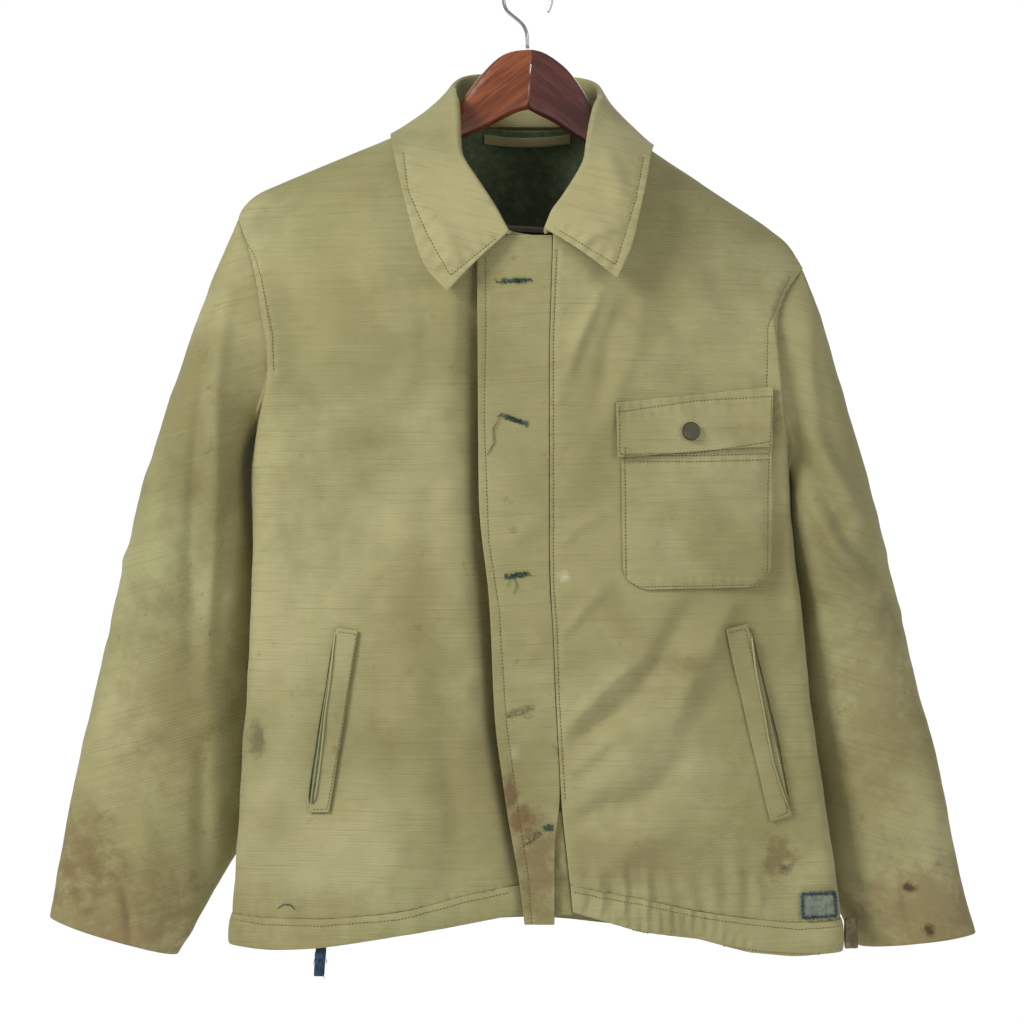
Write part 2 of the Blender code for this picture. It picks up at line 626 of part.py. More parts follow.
def build_pockets():
    look = ((0.40, 0.38, 0.19), 0.85)

    def rounded(across, down):
        past = max(0.0, (down - (1 - POCKET_CORNER)) / POCKET_CORNER)
        inset = POCKET_CORNER * (1 - math.sqrt(max(0.0, 1 - past ** 2)))
        return inset + (1 - 2 * inset) * across

    def pocket_lift(across, down):
        return LIFT["pocket"] + LIFT["curve"] * across ** 3

    def flap_lift(across, down):
        return LIFT["flap"] + LIFT["flap_free"] * smooth_step(down, 0.1, 0.62) + LIFT["curve"] * across ** 3

    def left_welt_lift(across, down):
        return LIFT["welt"] + LIFT["mouth"] * across * math.sin(math.pi * down)

    def right_welt_lift(across, down):
        return left_welt_lift(1 - across, down)

    def patch_lift(across, down):
        return LIFT["patch"]

    lying_piece("chest_pocket", CHEST_POCKET, 13, 10, POCKET_WALL, pocket_lift, look, rounded)
    lying_piece("chest_flap", CHEST_FLAP, 6, 12, FLAP_WALL, flap_lift, look)
    lying_piece("welt_left", WELT_LEFT, 12, 4, WELT_WALL, left_welt_lift, look)
    lying_piece("welt_right", WELT_RIGHT, 12, 4, WELT_WALL, right_welt_lift, look)
    lying_piece("hook_loop_patch", PATCH, 4, 9, PATCH_WALL, patch_lift, ((0.20, 0.24, 0.19), 0.95))


def build_snap():
    x, drop = SNAP["across"] * MM, SNAP["drop"] * MM
    out = Vector(cloth_normal(x, drop, "front").tolist())
    bpy.ops.mesh.primitive_cylinder_add(vertices=28, radius=SNAP["radius"] * MM, depth=SNAP["height"] * MM)
    cap = bpy.context.object
    cap.name = cap.data.name = "flap_snap"
    cap.rotation_euler = out.to_track_quat("Z", "Y").to_euler()
    cap.location = Vector(body_point(x, drop, "front").tolist()) + out * SNAP["lift"] * MM
    edge = cap.modifiers.new("rounded_edge", "BEVEL")
    edge.width = SNAP["edge"] * MM
    edge.segments = 2
    for collection in list(cap.users_collection):
        collection.objects.unlink(cap)
    bpy.data.collections[COLLECTION].objects.link(cap)
    cap.data.materials.append(make_material("flap_snap", (0.10, 0.11, 0.09), 0.4, 0.7))


def strip(name, path, sideways, half_width, wall, look):
    """A flat tape along a path, its width to both sides along one direction."""
    path = np.array(path) * MM
    sideways = np.array(sideways, float)
    along = np.gradient(path, axis=0)
    normal = np.cross(along, sideways)
    normal /= np.linalg.norm(normal, axis=1, keepdims=True)
    shares = np.array((-1, 0, 1))[None, :, None] * half_width * sideways
    outer = path[:, None, :] + shares + normal[:, None, :] * wall / 2
    inner = path[:, None, :] + shares - normal[:, None, :] * wall / 2
    return add_object(name, wall_mesh(name, outer, inner), look)


# The hanging loop lies inside the back of the neck, and sags a little in its middle.
LOOP = {"half_length": 38, "drop": 72, "level": 74, "sag": 2.5, "inside": 3.4, "half_width": 4.2, "wall": 1.6}
# Each point of the strap's end: across, proud of the band, drop.
STRAP = {
    "across": (-173, -173.5, -174, -175, -175.5),
    "proud": (1.2, 1.8, 1.6, 0.6, 0.8),
    "drop": (748, 760, 771, 780, 789),
    "half_width": 4.5, "wall": 1.8, "at": (-175, 760),
}
# Each point of the side tab: outward of the side, depth, drop.
TAB = {
    "out": (3.2, 8, 12, 14),
    "depth": (-33, -29, -24, -18),
    "drop": (757, 757, 758, 758.5),
    "half_width": 13, "wall": 2.4, "at": 757,
}


def build_trim():
    lower = HOOK_TO_WOOD / MM
    path = []
    for share in np.linspace(0, 1, 13):
        x = LOOP["half_length"] * (2 * share - 1)
        sag = LOOP["sag"] * math.sin(math.pi * share)
        behind = body_depth(x * MM, (LOOP["level"] + sag) * MM, "back") / MM
        depth = behind - SHELL_WALL / MM - LOOP["inside"] - sag / 2
        path.append((x, depth, -lower - LOOP["drop"] - sag))
    look = ((0.40, 0.38, 0.2), 0.85)
    strip("hang_loop", path, (0, 0, 1), LOOP["half_width"] * MM, LOOP["wall"] * MM, look)

    band = body_depth(STRAP["at"][0] * MM, STRAP["at"][1] * MM, "front") / MM + BAND_WALL / MM
    path = [(x, band + proud, -lower - drop)
            for x, proud, drop in zip(STRAP["across"], STRAP["proud"], STRAP["drop"])]
    look = ((0.04, 0.09, 0.1), 0.95)
    strip("strap_end", path, (1, 0, 0), STRAP["half_width"] * MM, STRAP["wall"] * MM, look)

    side = side_half_width(1, TAB["at"] * MM) / MM
    path = [(side + out, depth, -lower - drop)
            for out, depth, drop in zip(TAB["out"], TAB["depth"], TAB["drop"])]
    strip("side_tab", path, (0, 0, 1), TAB["half_width"] * MM, TAB["wall"] * MM, ((0.30, 0.27, 0.15), 0.9))


# Collar

NECK_SEAM = {
    "across": (14, 23, 37, 54, 65, 73, 76, 70, 54, 28),
    "facing": ("front",) * 7 + ("back",) * 3,
}
MIDDLE_Y = -10 * MM
SEAM_RISE = COLLAR_WALL / 2 + 0.6 * MM
# The roll's section about the roll line, as (outward, up), and the leaf's swell at shares of its length.
ROLL = {"side": (2.6, -2.4), "top": (1.4, -0.5)}
LEAF = {"share": (0.3, 0.6, 0.85, 1.0), "proud": (1.54, 1.68, 0.7, 0.0)}


def collar_station(sizes, index, side):
    roll, edge = (
        np.array((sizes[key + "_x"][index], sizes[key + "_y"][index], -sizes[key + "_drop"][index])) * MM
        for key in ("roll", "edge"))
    x = side * NECK_SEAM["across"][index] * MM
    facing = NECK_SEAM["facing"][index]
    drop = neck_drop(x, facing)
    seam = np.array((x, body_depth(x, drop, facing), -drop))
    inward = np.array((-x, MIDDLE_Y - seam[1], 0))
    beside = (SHELL_WALL + COLLAR_WALL) / 2 * (abs(x) / NECK_HALF_WIDTH) ** 4
    seam += inward / np.linalg.norm(inward) * (SHELL_WALL / 2 + beside)
    seam[2] += SEAM_RISE
    return collar_section(seam, roll, edge)


def collar_section(seam, roll, edge):
    """The middle of the wall: up the stand, over the roll, and down the leaf."""
    out = np.array((roll[0], roll[1] - MIDDLE_Y, 0))
    out /= np.linalg.norm(out)
    up = np.array((0, 0, 1))
    side, top = ([step * MM for step in ROLL[key]] for key in ("side", "top"))
    neck_side = roll - out * side[0] + up * side[1]
    leaf_side = roll + out * side[0] + up * side[1]
    stand = [seam, (seam + neck_side) / 2, neck_side]
    stand += [roll - out * top[0] + up * top[1], roll + out * top[0] + up * top[1]]
    leaf = [leaf_side]
    for share, proud in zip(LEAF["share"], LEAF["proud"]):
        leaf.append(leaf_side + (edge - leaf_side) * share + (out + up) * proud * MM)
    return np.array(stand + [clear_of_body(point) for point in leaf])


def clear_of_body(point):
    """The point, kept a little off the fronts, the shoulders and the back."""
    room = COLLAR_WALL / 2 + COLLAR_ROOM
    facing = "front" if point[1] < 0 else "back"
    for _ in range(4):
        x, drop = point[0], -point[2]
        over = top_drop(x, facing)
        if abs(x) < NECK_HALF_WIDTH and drop < over - room:
            return point
        low = max(drop, over + 3 * MM)
        surface = body_point(x, low, facing) + np.array((0, 0, HOOK_TO_WOOD))
        normal = cloth_normal(x, low, facing)
        off = float(np.dot(point - surface, normal))
        if off >= room:
            return point
        point = point + normal * (room - off)
    return point


def build_collar():
    right = [collar_station(RIGHT_COLLAR, index, -1) for index in range(10)]
    left = [collar_station(LEFT_COLLAR, index, 1) for index in range(10)]
    back_seam = np.array((0, body_depth(0, BACK_NECK_DROP, "back") - SHELL_WALL / 2, -BACK_NECK_DROP))
    back_seam[2] += SEAM_RISE
    middle = [np.array((x, y, -drop)) * MM for x, y, drop in (BACK_ROLL, BACK_EDGE)]
    stations = np.array(right + [collar_section(back_seam, *middle)] + left[::-1])
    finer = [stations[0]]
    for here, following in zip(stations, stations[1:]):
        finer += [(here + following) / 2, following]
    centre = np.array(finer)
    centre[1::2][1:-1] = smoothed_between(stations)
    normals = grid_normals(centre)
    outer = centre + normals * COLLAR_WALL / 2
    inner = centre - normals * COLLAR_WALL / 2
    outer[:, :, 2] -= HOOK_TO_WOOD
    inner[:, :, 2] -= HOOK_TO_WOOD
    add_object("collar", wall_mesh("collar", outer, inner), ((0.45, 0.42, 0.22), 0.85))


def smoothed_between(stations):
    """Points halfway between stations, on a smooth curve through their neighbours."""
    return (-stations[:-3] + 9 * stations[1:-2] + 9 * stations[2:-1] - stations[3:]) / 16


# Hanger

RIGHT_ARM = {
    "out": (0, 8, 16, 24, 31, 38, 45, 52, 60, 68, 77, 95, 116, 150, 180, 198, 204),
    "top": (0.3, 0.9, 2.5, 6.5, 12.5, 20, 29, 38, 51, 64, 71, 77.5, 84, 97, 109, 117, 122),
    "bottom": (53, 55, 59, 63, 67, 70, 73, 76, 79, 84, 90, 101, 115, 138, 160, 170, 168),
}
LEFT_ARM = {
    "out": (0, 11, 18, 25, 32, 38, 45, 52.5, 59, 68, 77, 90, 106, 135, 155, 185, 191),
    "top": (0.3, 1.5, 4.8, 9.5, 15, 21.5, 31.5, 44, 57, 69, 76.5, 84.5, 94.5, 114, 127, 147, 153),
    "bottom": (53, 59, 62, 66, 71, 75, 79, 84, 88, 94, 101, 111, 124, 147, 163, 187, 184),
}
ARM_HALF_THICKNESS = {"out": (0, 50, 75, 116, 170, 190, 204), "half": (8, 7.5, 8, 10.5, 11.5, 10, 7)}
# An arm's section is an oval squared off by these powers.
ARM_POWERS = {"thickness": 0.7, "height": 0.85}
MITRE_LEAN, MITRE_X = -0.053, 3.6 * MM
BAR_RADIUS = 5.5 * MM
BAR = {"right_x": -158.5, "right_drop": 150.2, "left_x": 152, "left_drop": 166.6}
WIRE = {"radius": 1.75, "inside": 19, "first_turn": 215, "last_turn": -35, "turn_step": -10}
# The hook's stem from the wood up to its bend: across, and height above the wood.
STEM = ((0, -0.1), (0, 12), (-2.5, 19), (-8, 24.5))


def build_arm(name, sizes, side, colour):
    rings = []
    points = 16
    for out, top, bottom in zip(sizes["out"], sizes["top"], sizes["bottom"]):
        half = np.interp(out, ARM_HALF_THICKNESS["out"], ARM_HALF_THICKNESS["half"])
        ring = []
        for c in range(points):
            turn = 2 * math.pi * c / points
            y = half * math.copysign(abs(math.sin(turn)) ** ARM_POWERS["thickness"], math.sin(turn))
            rise = math.copysign(abs(math.cos(turn)) ** ARM_POWERS["height"], math.cos(turn))
            drop = (top + bottom) / 2 - (bottom - top) / 2 * rise
            x = side * out
            if out == 0:
                x = (MITRE_X + MITRE_LEAN * drop * MM) / MM + side * 0.16
            ring.append((x, y, -drop - HOOK_TO_WOOD / MM))
        rings.append(ring)
    shape = bmesh.new()
    made = [[shape.verts.new(Vector(point) * MM) for point in ring] for ring in rings]
    for here, following in zip(made, made[1:]):
        for c in range(points):
            d = (c + 1) % points
            shape.faces.new((here[c], here[d], following[d], following[c]))
    shape.faces.new(made[0])
    shape.faces.new(made[-1])
    bmesh.ops.recalc_face_normals(shape, faces=shape.faces)
    mesh = bpy.data.meshes.new(name)
    shape.to_mesh(mesh)
    shape.free()
    mesh.shade_smooth()
    mesh.set_sharp_from_angle(angle=math.radians(40))
    add_object(name, mesh, (colour, 0.25))


def tube(name, points, radius, resolution, look):
    curve = bpy.data.curves.new(name, "CURVE")
    curve.dimensions = "3D"
    curve.bevel_depth = radius
    curve.bevel_resolution = resolution
    curve.use_fill_caps = True
    spline = curve.splines.new("POLY")
    spline.points.add(len(points) - 1)
    for place, point in zip(spline.points, points):
        place.co = (*(value * MM for value in point), 1.0)
    add_object(name, curve, look)


def build_hanger():
    build_arm("hanger_arm_right", RIGHT_ARM, -1, (0.25, 0.06, 0.018))
    build_arm("hanger_arm_left", LEFT_ARM, 1, (0.10, 0.03, 0.022))
    lower = HOOK_TO_WOOD / MM
    bar = [(BAR["right_x"], 0, -lower - BAR["right_drop"]), (BAR["left_x"], 0, -lower - BAR["left_drop"])]
    tube("hanger_bar", bar, BAR_RADIUS, 3, ((0.12, 0.05, 0.04), 0.3))
    radius = WIRE["inside"] + WIRE["radius"]
    bend = [(x, 0, up - lower) for x, up in STEM]
    for degrees in range(WIRE["first_turn"], WIRE["last_turn"] - 1, WIRE["turn_step"]):
        turn = math.radians(degrees)
        bend.append((radius * math.cos(turn), 0, radius * math.sin(turn) - WIRE["inside"]))
    tube("hanger_hook", bend, WIRE["radius"] * MM, 2, ((0.6, 0.6, 0.6), 0.25, 1.0))


def main():
    clear_scene()
    collection = bpy.data.collections.new(COLLECTION)
    bpy.context.scene.collection.children.link(collection)
    build_body()
    build_hem()
    build_fly()
    build_pockets()
    build_snap()
    build_trim()
    build_collar()
    build_hanger()


main()
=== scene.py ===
import math
import random

import bmesh
import bpy
import numpy as np
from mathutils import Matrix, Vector
from mathutils.bvhtree import BVHTree


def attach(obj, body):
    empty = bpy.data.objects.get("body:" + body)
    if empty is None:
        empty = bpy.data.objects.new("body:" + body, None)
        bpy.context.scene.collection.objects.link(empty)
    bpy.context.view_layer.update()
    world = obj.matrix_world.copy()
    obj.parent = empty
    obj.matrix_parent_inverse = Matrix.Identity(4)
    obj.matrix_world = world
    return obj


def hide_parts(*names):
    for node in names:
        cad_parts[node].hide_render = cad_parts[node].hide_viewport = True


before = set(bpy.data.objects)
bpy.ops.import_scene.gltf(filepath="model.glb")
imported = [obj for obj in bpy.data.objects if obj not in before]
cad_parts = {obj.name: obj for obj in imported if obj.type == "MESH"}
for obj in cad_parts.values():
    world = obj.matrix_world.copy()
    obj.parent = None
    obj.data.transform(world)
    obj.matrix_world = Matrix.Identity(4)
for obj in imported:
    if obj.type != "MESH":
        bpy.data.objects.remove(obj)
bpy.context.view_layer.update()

random.seed(12)
mm = 0.001
waveScale = 0.314              # a wave texture of this scale repeats once in a metre
hookToWood = 62               # mm from the origin, inside the hook, down to the top of the wood
print("frame loaded,", len(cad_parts), "nodes")


# camera and light

shot = {"distance": 2.5, "across": -0.0133, "height": -0.461, "lens": 102.15}
studio = {"floorDrop": 1.75, "backdrop": 4.2, "world": 0.31, "key": 74, "fill": 20, "rim": 8}


def makeCamera():
    data = bpy.data.cameras.new("camera")
    data.lens = shot["lens"]
    data.sensor_width = 36
    data.dof.use_dof = False
    camera = bpy.data.objects.new("camera", data)
    camera.location = (shot["across"], -shot["distance"], shot["height"])
    camera.rotation_euler = (math.radians(90), 0, 0)
    bpy.context.scene.collection.objects.link(camera)
    bpy.context.scene.camera = camera


def areaLight(name, place, aim, size, power):
    data = bpy.data.lights.new(name, "AREA")
    data.shape = "RECTANGLE"
    data.size, data.size_y = size
    data.energy = power
    light = bpy.data.objects.new(name, data)
    light.location = place
    light.rotation_euler = (Vector(aim) - Vector(place)).to_track_quat("-Z", "Y").to_euler()
    bpy.context.scene.collection.objects.link(light)


def makeStudio():
    world = bpy.data.worlds.new("studio")
    world.use_nodes = True
    world.node_tree.nodes["Background"].inputs["Color"].default_value = (1, 1, 1, 1)
    world.node_tree.nodes["Background"].inputs["Strength"].default_value = studio["world"]
    bpy.context.scene.world = world
    bpy.context.scene.view_settings.view_transform = "Standard"
    middle = (0, 0, -0.5)
    areaLight("key", (-2.3, -1.9, 1.1), middle, (1.1, 1.1), studio["key"])
    areaLight("fill", (2.0, -2.2, 0.1), middle, (1.8, 1.8), studio["fill"])
    areaLight("rim", (0.4, 2.0, 1.2), middle, (1.6, 1.0), studio["rim"])
    bpy.ops.object.select_all(action="DESELECT")
    bpy.ops.mesh.primitive_plane_add(size=14, location=(0, 2, -studio["floorDrop"]))
    floor = bpy.context.object
    floor.name = "floor"
    floor.data.materials.append(makeMaterial("pale matt floor paint", "#f6f6f6",
                                             surface={"Roughness": 0.9}))
    bpy.ops.object.select_all(action="DESELECT")
    bpy.ops.mesh.primitive_plane_add(size=8, location=(0, studio["backdrop"], 0),
                                     rotation=(math.radians(90), 0, 0))
    backdrop = bpy.context.object
    backdrop.name = "lit_white_backdrop"
    backdrop.data.materials.append(makeMaterial(
        "lit white paper", "#000000", surface={"Emission Color": (1, 1, 1, 1), "Emission Strength": 1.0}))


# materials

def hexColour(code):
    parts = [int(code[i:i + 2], 16) / 255 for i in (1, 3, 5)]
    return tuple(c / 12.92 if c <= 0.04045 else ((c + 0.055) / 1.055) ** 2.4 for c in parts) + (1.0,)


def addNode(tree, kind, inputs, output=0, **settings):
    node = tree.nodes.new(kind)
    for key, value in settings.items():
        setattr(node, key, value)
    for key, value in inputs.items():
        if isinstance(value, bpy.types.NodeSocket):
            tree.links.new(value, node.inputs[key])
        else:
            node.inputs[key].default_value = value
    return node.outputs[output]


def layeredColour(tree, place, colour, layers):
    # each layer lays its colour on where its own noise is strong
    for layer in layers:
        stretched = addNode(tree, "ShaderNodeMapping", {
            "Vector": place, "Scale": layer.get("stretch", (1, 1, 1))})
        cloud = addNode(tree, "ShaderNodeTexNoise", {
            "Vector": stretched, "Scale": layer["scale"], "Detail": 5, "Roughness": 0.6})
        share = addNode(tree, "ShaderNodeMapRange", {
            "Value": cloud, "From Min": layer["from"], "From Max": layer["to"], "To Max": layer["share"]})
        colour = addNode(tree, "ShaderNodeMix", {0: share, 6: colour, 7: hexColour(layer["colour"])}, 2,
                         data_type="RGBA")
    return colour


def stainedColour(tree, place, colour, stains):
    # each stain is an ellipsoid at its own place, given as (across, out, drop) in mm, with a ragged edge
    wobble = addNode(tree, "ShaderNodeTexNoise", {
        "Vector": place, "Scale": 75, "Detail": 4, "Roughness": 0.65})
    for stain in stains:
        across, out, drop = stain["at"]
        size = [s * mm for s in stain["size"]]
        middle = (across * mm, out * mm, -(drop + hookToWood) * mm)
        near = addNode(tree, "ShaderNodeMapping", {
            "Vector": place, "Location": tuple(-m / s for m, s in zip(middle, size)),
            "Scale": tuple(1 / s for s in size)})
        far = addNode(tree, "ShaderNodeVectorMath", {0: near}, 1, operation="LENGTH")
        ragged = addNode(tree, "ShaderNodeMath", {0: wobble, 1: 3.2, 2: far}, operation="MULTIPLY_ADD")
        share = addNode(tree, "ShaderNodeMapRange", {
            "Value": ragged, "From Min": 3.0, "From Max": 2.1, "To Max": stain["share"]})
        colour = addNode(tree, "ShaderNodeMix", {0: share, 6: colour, 7: hexColour(stain["colour"])}, 2,
                         data_type="RGBA")
    return colour


def makeMaterial(name, base, layers=(), stains=(), surface=None, bump=None, lean=0, ribs=0):
    material = bpy.data.materials.new(name)
    material.use_nodes = True
    tree = material.node_tree
    shader = tree.nodes["Principled BSDF"]
    place = addNode(tree, "ShaderNodeTexCoord", {}, "Object")
    turned = addNode(tree, "ShaderNodeMapping", {"Vector": place, "Rotation": (0, math.radians(lean), 0)})
    shader.inputs["Base Color"].default_value = hexColour(base)
    if layers:
        colour = layeredColour(tree, turned, hexColour(base), layers)
        if stains:
            colour = stainedColour(tree, place, colour, stains)
        tree.links.new(colour, shader.inputs["Base Color"])
    for key, value in (surface or {}).items():
        shader.inputs[key].default_value = value
    if bump:
        stretched = addNode(tree, "ShaderNodeMapping", {
            "Vector": turned, "Scale": bump.get("stretch", (1, 1, 1))})
        height = addNode(tree, "ShaderNodeTexNoise", {
            "Vector": stretched, "Scale": bump["scale"], "Detail": 4, "Roughness": 0.62})
        if ribs:
            wave = addNode(tree, "ShaderNodeTexWave", {
                "Vector": turned, "Scale": waveScale / (ribs * mm), "Distortion": 2.2, "Detail": 2,
                "Detail Scale": 2}, "Fac", bands_direction="Z")
            height = addNode(tree, "ShaderNodeMath", {0: wave, 1: 0.35, 2: height},
                             operation="MULTIPLY_ADD")
        normal = addNode(tree, "ShaderNodeBump", {
            "Height": height, "Strength": bump["strength"], "Distance": bump["depth"] * mm})
        tree.links.new(normal, shader.inputs["Normal"])
    return material


# faded ribbed cotton: dull, in clouds, with slubs along the ribs and ingrained brown dirt
olive = {"base": "#a39c6e", "light": "#b8b285", "deep": "#857e52", "green": "#8e9263", "dirt": "#755f3d",
         "ribPitch": 2.4}     # mm; the real ribs, about 1 mm, are too fine for this picture
clothSurface = {"Roughness": 0.9, "Specular IOR Level": 0.2, "Sheen Weight": 0.12, "Sheen Roughness": 0.5}
clothBump = {"scale": 22, "stretch": (1, 1, 26), "strength": 0.5, "depth": 0.55}


def clothLayers(dirty=0.35, pale=0.7):
    return [
        {"scale": 5, "from": 0.42, "to": 0.62, "share": 0.55, "colour": olive["deep"]},
        {"scale": 7, "from": 0.45, "to": 0.66, "share": pale, "colour": olive["light"]},
        {"scale": 4, "from": 0.48, "to": 0.64, "share": 0.4, "colour": olive["green"]},
        {"scale": 15, "stretch": (1, 1, 34), "from": 0.52, "to": 0.74, "share": 0.42,
         "colour": olive["deep"]},
        {"scale": 11, "stretch": (1, 1, 50), "from": 0.56, "to": 0.78, "share": 0.3,
         "colour": olive["light"]},
        {"scale": 8, "from": 0.56, "to": 0.74, "share": dirty, "colour": olive["dirt"]},
        {"scale": 60, "from": 0.64, "to": 0.76, "share": dirty, "colour": olive["dirt"]}]


# each stain: place (across, out, drop) and half sizes in mm, strength, colour
bodyStains = [
    {"at": (-226, -50, 590), "size": (7, 40, 16), "share": 0.55, "colour": "#5c4a3a"},
    {"at": (30, -75, 454), "size": (5, 30, 4.5), "share": 0.75, "colour": "#cfc9a6"},
    {"at": (210, -60, 686), "size": (14, 40, 14), "share": 0.5, "colour": "#6b5435"},
    {"at": (218, -60, 699), "size": (6, 40, 5), "share": 0.7, "colour": "#4a3a28"},
    {"at": (128, -75, 525), "size": (16, 40, 9), "share": 0.35, "colour": "#6f5a38"},
    {"at": (-95, -75, 470), "size": (20, 40, 46), "share": 0.12, "colour": "#7a6338"},
    {"at": (-60, -75, 640), "size": (30, 40, 40), "share": 0.1, "colour": "#755f3d"},
    {"at": (120, -75, 690), "size": (60, 40, 26), "share": 0.12, "colour": "#7d6a44"},
    {"at": (-180, -70, 735), "size": (60, 40, 22), "share": 0.22, "colour": "#8a7448"},
    {"at": (210, -65, 640), "size": (40, 40, 60), "share": 0.2, "colour": "#80703f"}]
flyStains = [
    {"at": (-16, -80, 633), "size": (6, 30, 14), "share": 0.7, "colour": "#6a4c33"},
    {"at": (-6, -80, 655), "size": (8, 30, 10), "share": 0.6, "colour": "#7a5a3c"},
    {"at": (6, -80, 690), "size": (20, 30, 40), "share": 0.5, "colour": "#6f5737"},
    {"at": (-12, -80, 600), "size": (5, 30, 6), "share": 0.3, "colour": "#c9c3a0"}]
rightSleeveStains = [
    {"at": (-350, -10, 735), "size": (60, 90, 42), "share": 0.45, "colour": "#7d6545"},
    {"at": (-380, -10, 690), "size": (26, 90, 34), "share": 0.4, "colour": "#6e5537"},
    {"at": (-330, -40, 760), "size": (40, 60, 12), "share": 0.7, "colour": "#94815a"},
    {"at": (-300, -40, 560), "size": (40, 60, 70), "share": 0.3, "colour": "#7e6a42"}]
leftSleeveStains = [
    {"at": (338, -10, 740), "size": (50, 90, 44), "share": 0.45, "colour": "#7d6545"},
    {"at": (325, -40, 718), "size": (5, 60, 4), "share": 0.9, "colour": "#4d3c26"},
    {"at": (340, -40, 754), "size": (5, 60, 4), "share": 0.9, "colour": "#4d3c26"},
    {"at": (300, -40, 560), "size": (36, 60, 80), "share": 0.35, "colour": "#7e6a42"}]

cloth = {
    "body": makeMaterial("faded ribbed cotton, body", olive["base"], clothLayers(), bodyStains,
                         clothSurface, clothBump, 0, olive["ribPitch"]),
    "fly": makeMaterial("faded ribbed cotton, fly", "#9f986b", clothLayers(0.6, 0.5), flyStains,
                        clothSurface, clothBump, 3, olive["ribPitch"]),
    "collar": makeMaterial("faded ribbed cotton, collar", "#b1a97a", clothLayers(0.25, 0.8), (),
                           clothSurface, clothBump, -14, olive["ribPitch"]),
    "right sleeve": makeMaterial("faded ribbed cotton, right sleeve", "#9c9567", clothLayers(0.6),
                                 rightSleeveStains, clothSurface, clothBump, 15, olive["ribPitch"]),
    "left sleeve": makeMaterial("faded ribbed cotton, left sleeve", "#a19a6d", clothLayers(0.45, 0.6),
                                leftSleeveStains, clothSurface, clothBump, -15, olive["ribPitch"])}

# a darker copy of the olive cloth, laid in the left pocket's mouth as painted shade for the opening
paintedShadeCloth = makeMaterial("grey green pocket facing", "#7b7a58", clothLayers(0.2, 0.2), (),
                          clothSurface, clothBump, 0, olive["ribPitch"])

# wool pile is deep and matt, lighter where its tufts stand up
pile = makeMaterial(
    "green wool pile", "#586849",
    [{"scale": 150, "from": 0.45, "to": 0.68, "share": 0.8, "colour": "#76865f"},
     {"scale": 18, "from": 0.45, "to": 0.7, "share": 0.5, "colour": "#3a462e"},
     {"scale": 320, "from": 0.5, "to": 0.7, "share": 0.5, "colour": "#6b7a57"}],
    (), {"Roughness": 0.95, "Sheen Weight": 0.3}, {"scale": 170, "strength": 0.9, "depth": 2.4})
# twisted cotton thread, dull and uneven
seamThread = makeMaterial(
    "olive cotton thread", "#857d54",
    [{"scale": 140, "from": 0.4, "to": 0.65, "share": 0.8, "colour": "#5c5838"}],
    (), {"Roughness": 0.9})
greenThread = makeMaterial(
    "dark green cotton thread", "#446350",
    [{"scale": 160, "from": 0.4, "to": 0.65, "share": 0.8, "colour": "#1f3026"}],
    (), {"Roughness": 0.9})
paleThread = makeMaterial(
    "frayed pale cotton thread", "#a79f72",
    [{"scale": 160, "from": 0.4, "to": 0.6, "share": 0.7, "colour": "#6d6a45"}],
    (), {"Roughness": 0.9})
blueThread = makeMaterial(
    "blue green cotton thread", "#3f5f6b",
    [{"scale": 160, "from": 0.4, "to": 0.6, "share": 0.8, "colour": "#22343a"}],
    (), {"Roughness": 0.9})
# nylon hook tape, matt, with a fine grid of hooks
hookTape = makeMaterial(
    "grey green hook tape", "#828b78",
    [{"scale": 260, "from": 0.45, "to": 0.6, "share": 0.6, "colour": "#59634f"},
     {"scale": 40, "from": 0.5, "to": 0.7, "share": 0.5, "colour": "#54697a"}],
    (), {"Roughness": 0.85}, {"scale": 420, "strength": 0.9, "depth": 0.8})
tabCloth = makeMaterial(
    "brown worn cotton tape", "#6b5d43",
    [{"scale": 60, "from": 0.42, "to": 0.62, "share": 0.8, "colour": "#a89a74"}],
    (), {"Roughness": 0.9}, {"scale": 300, "strength": 0.7, "depth": 0.6})
webbing = makeMaterial(
    "blue green cotton webbing", "#34506b",
    [{"scale": 120, "stretch": (1, 1, 3), "from": 0.42, "to": 0.62, "share": 0.8, "colour": "#1f2f33"}],
    (), {"Roughness": 0.9}, {"scale": 300, "strength": 0.7, "depth": 0.6})
# stained beech under gloss lacquer: long grain, dark pores, a clear reflection
woodSurface = {"Roughness": 0.3, "Coat Weight": 0.7, "Coat Roughness": 0.1}
woodGrain = {"stretch": (1, 4, 18), "scale": 40, "strength": 0.12, "depth": 0.3}
# the right arm is made a lighter orange brown than the left arm and the bar: painted sheen and light over
# its grain
rightWoodPaintedSheen = makeMaterial(
    "orange brown lacquered beech", "#7a3a1d",
    [{"scale": 16, "stretch": (1, 3, 12), "from": 0.4, "to": 0.62, "share": 0.8, "colour": "#a05a30"},
     {"scale": 50, "stretch": (1, 4, 26), "from": 0.5, "to": 0.66, "share": 0.7, "colour": "#4c2113"}],
    (), woodSurface, woodGrain, 38)
leftWood = makeMaterial(
    "dark brown lacquered beech", "#4f2620",
    [{"scale": 16, "stretch": (1, 3, 12), "from": 0.4, "to": 0.62, "share": 0.7, "colour": "#6d3a2c"},
     {"scale": 50, "stretch": (1, 4, 26), "from": 0.5, "to": 0.66, "share": 0.7, "colour": "#2f1512"}],
    (), woodSurface, woodGrain, -38)
# chrome plate on drawn wire, bright with faint rubbing
wire = makeMaterial(
    "chrome plated steel wire", "#c9c9c7",
    [{"scale": 90, "from": 0.45, "to": 0.65, "share": 0.5, "colour": "#a9a9a8"}],
    (), {"Metallic": 1.0, "Roughness": 0.2})
# painted brass snap, worn to bare metal on its rim
snapPaint = makeMaterial(
    "worn olive painted brass", "#4b4a38",
    [{"scale": 120, "from": 0.5, "to": 0.7, "share": 0.4, "colour": "#857b5c"}],
    (), {"Metallic": 0.7, "Roughness": 0.42}, {"scale": 500, "strength": 0.3, "depth": 0.2})

makeCamera()
makeStudio()
print("camera, studio and materials made")


# cloth meshes

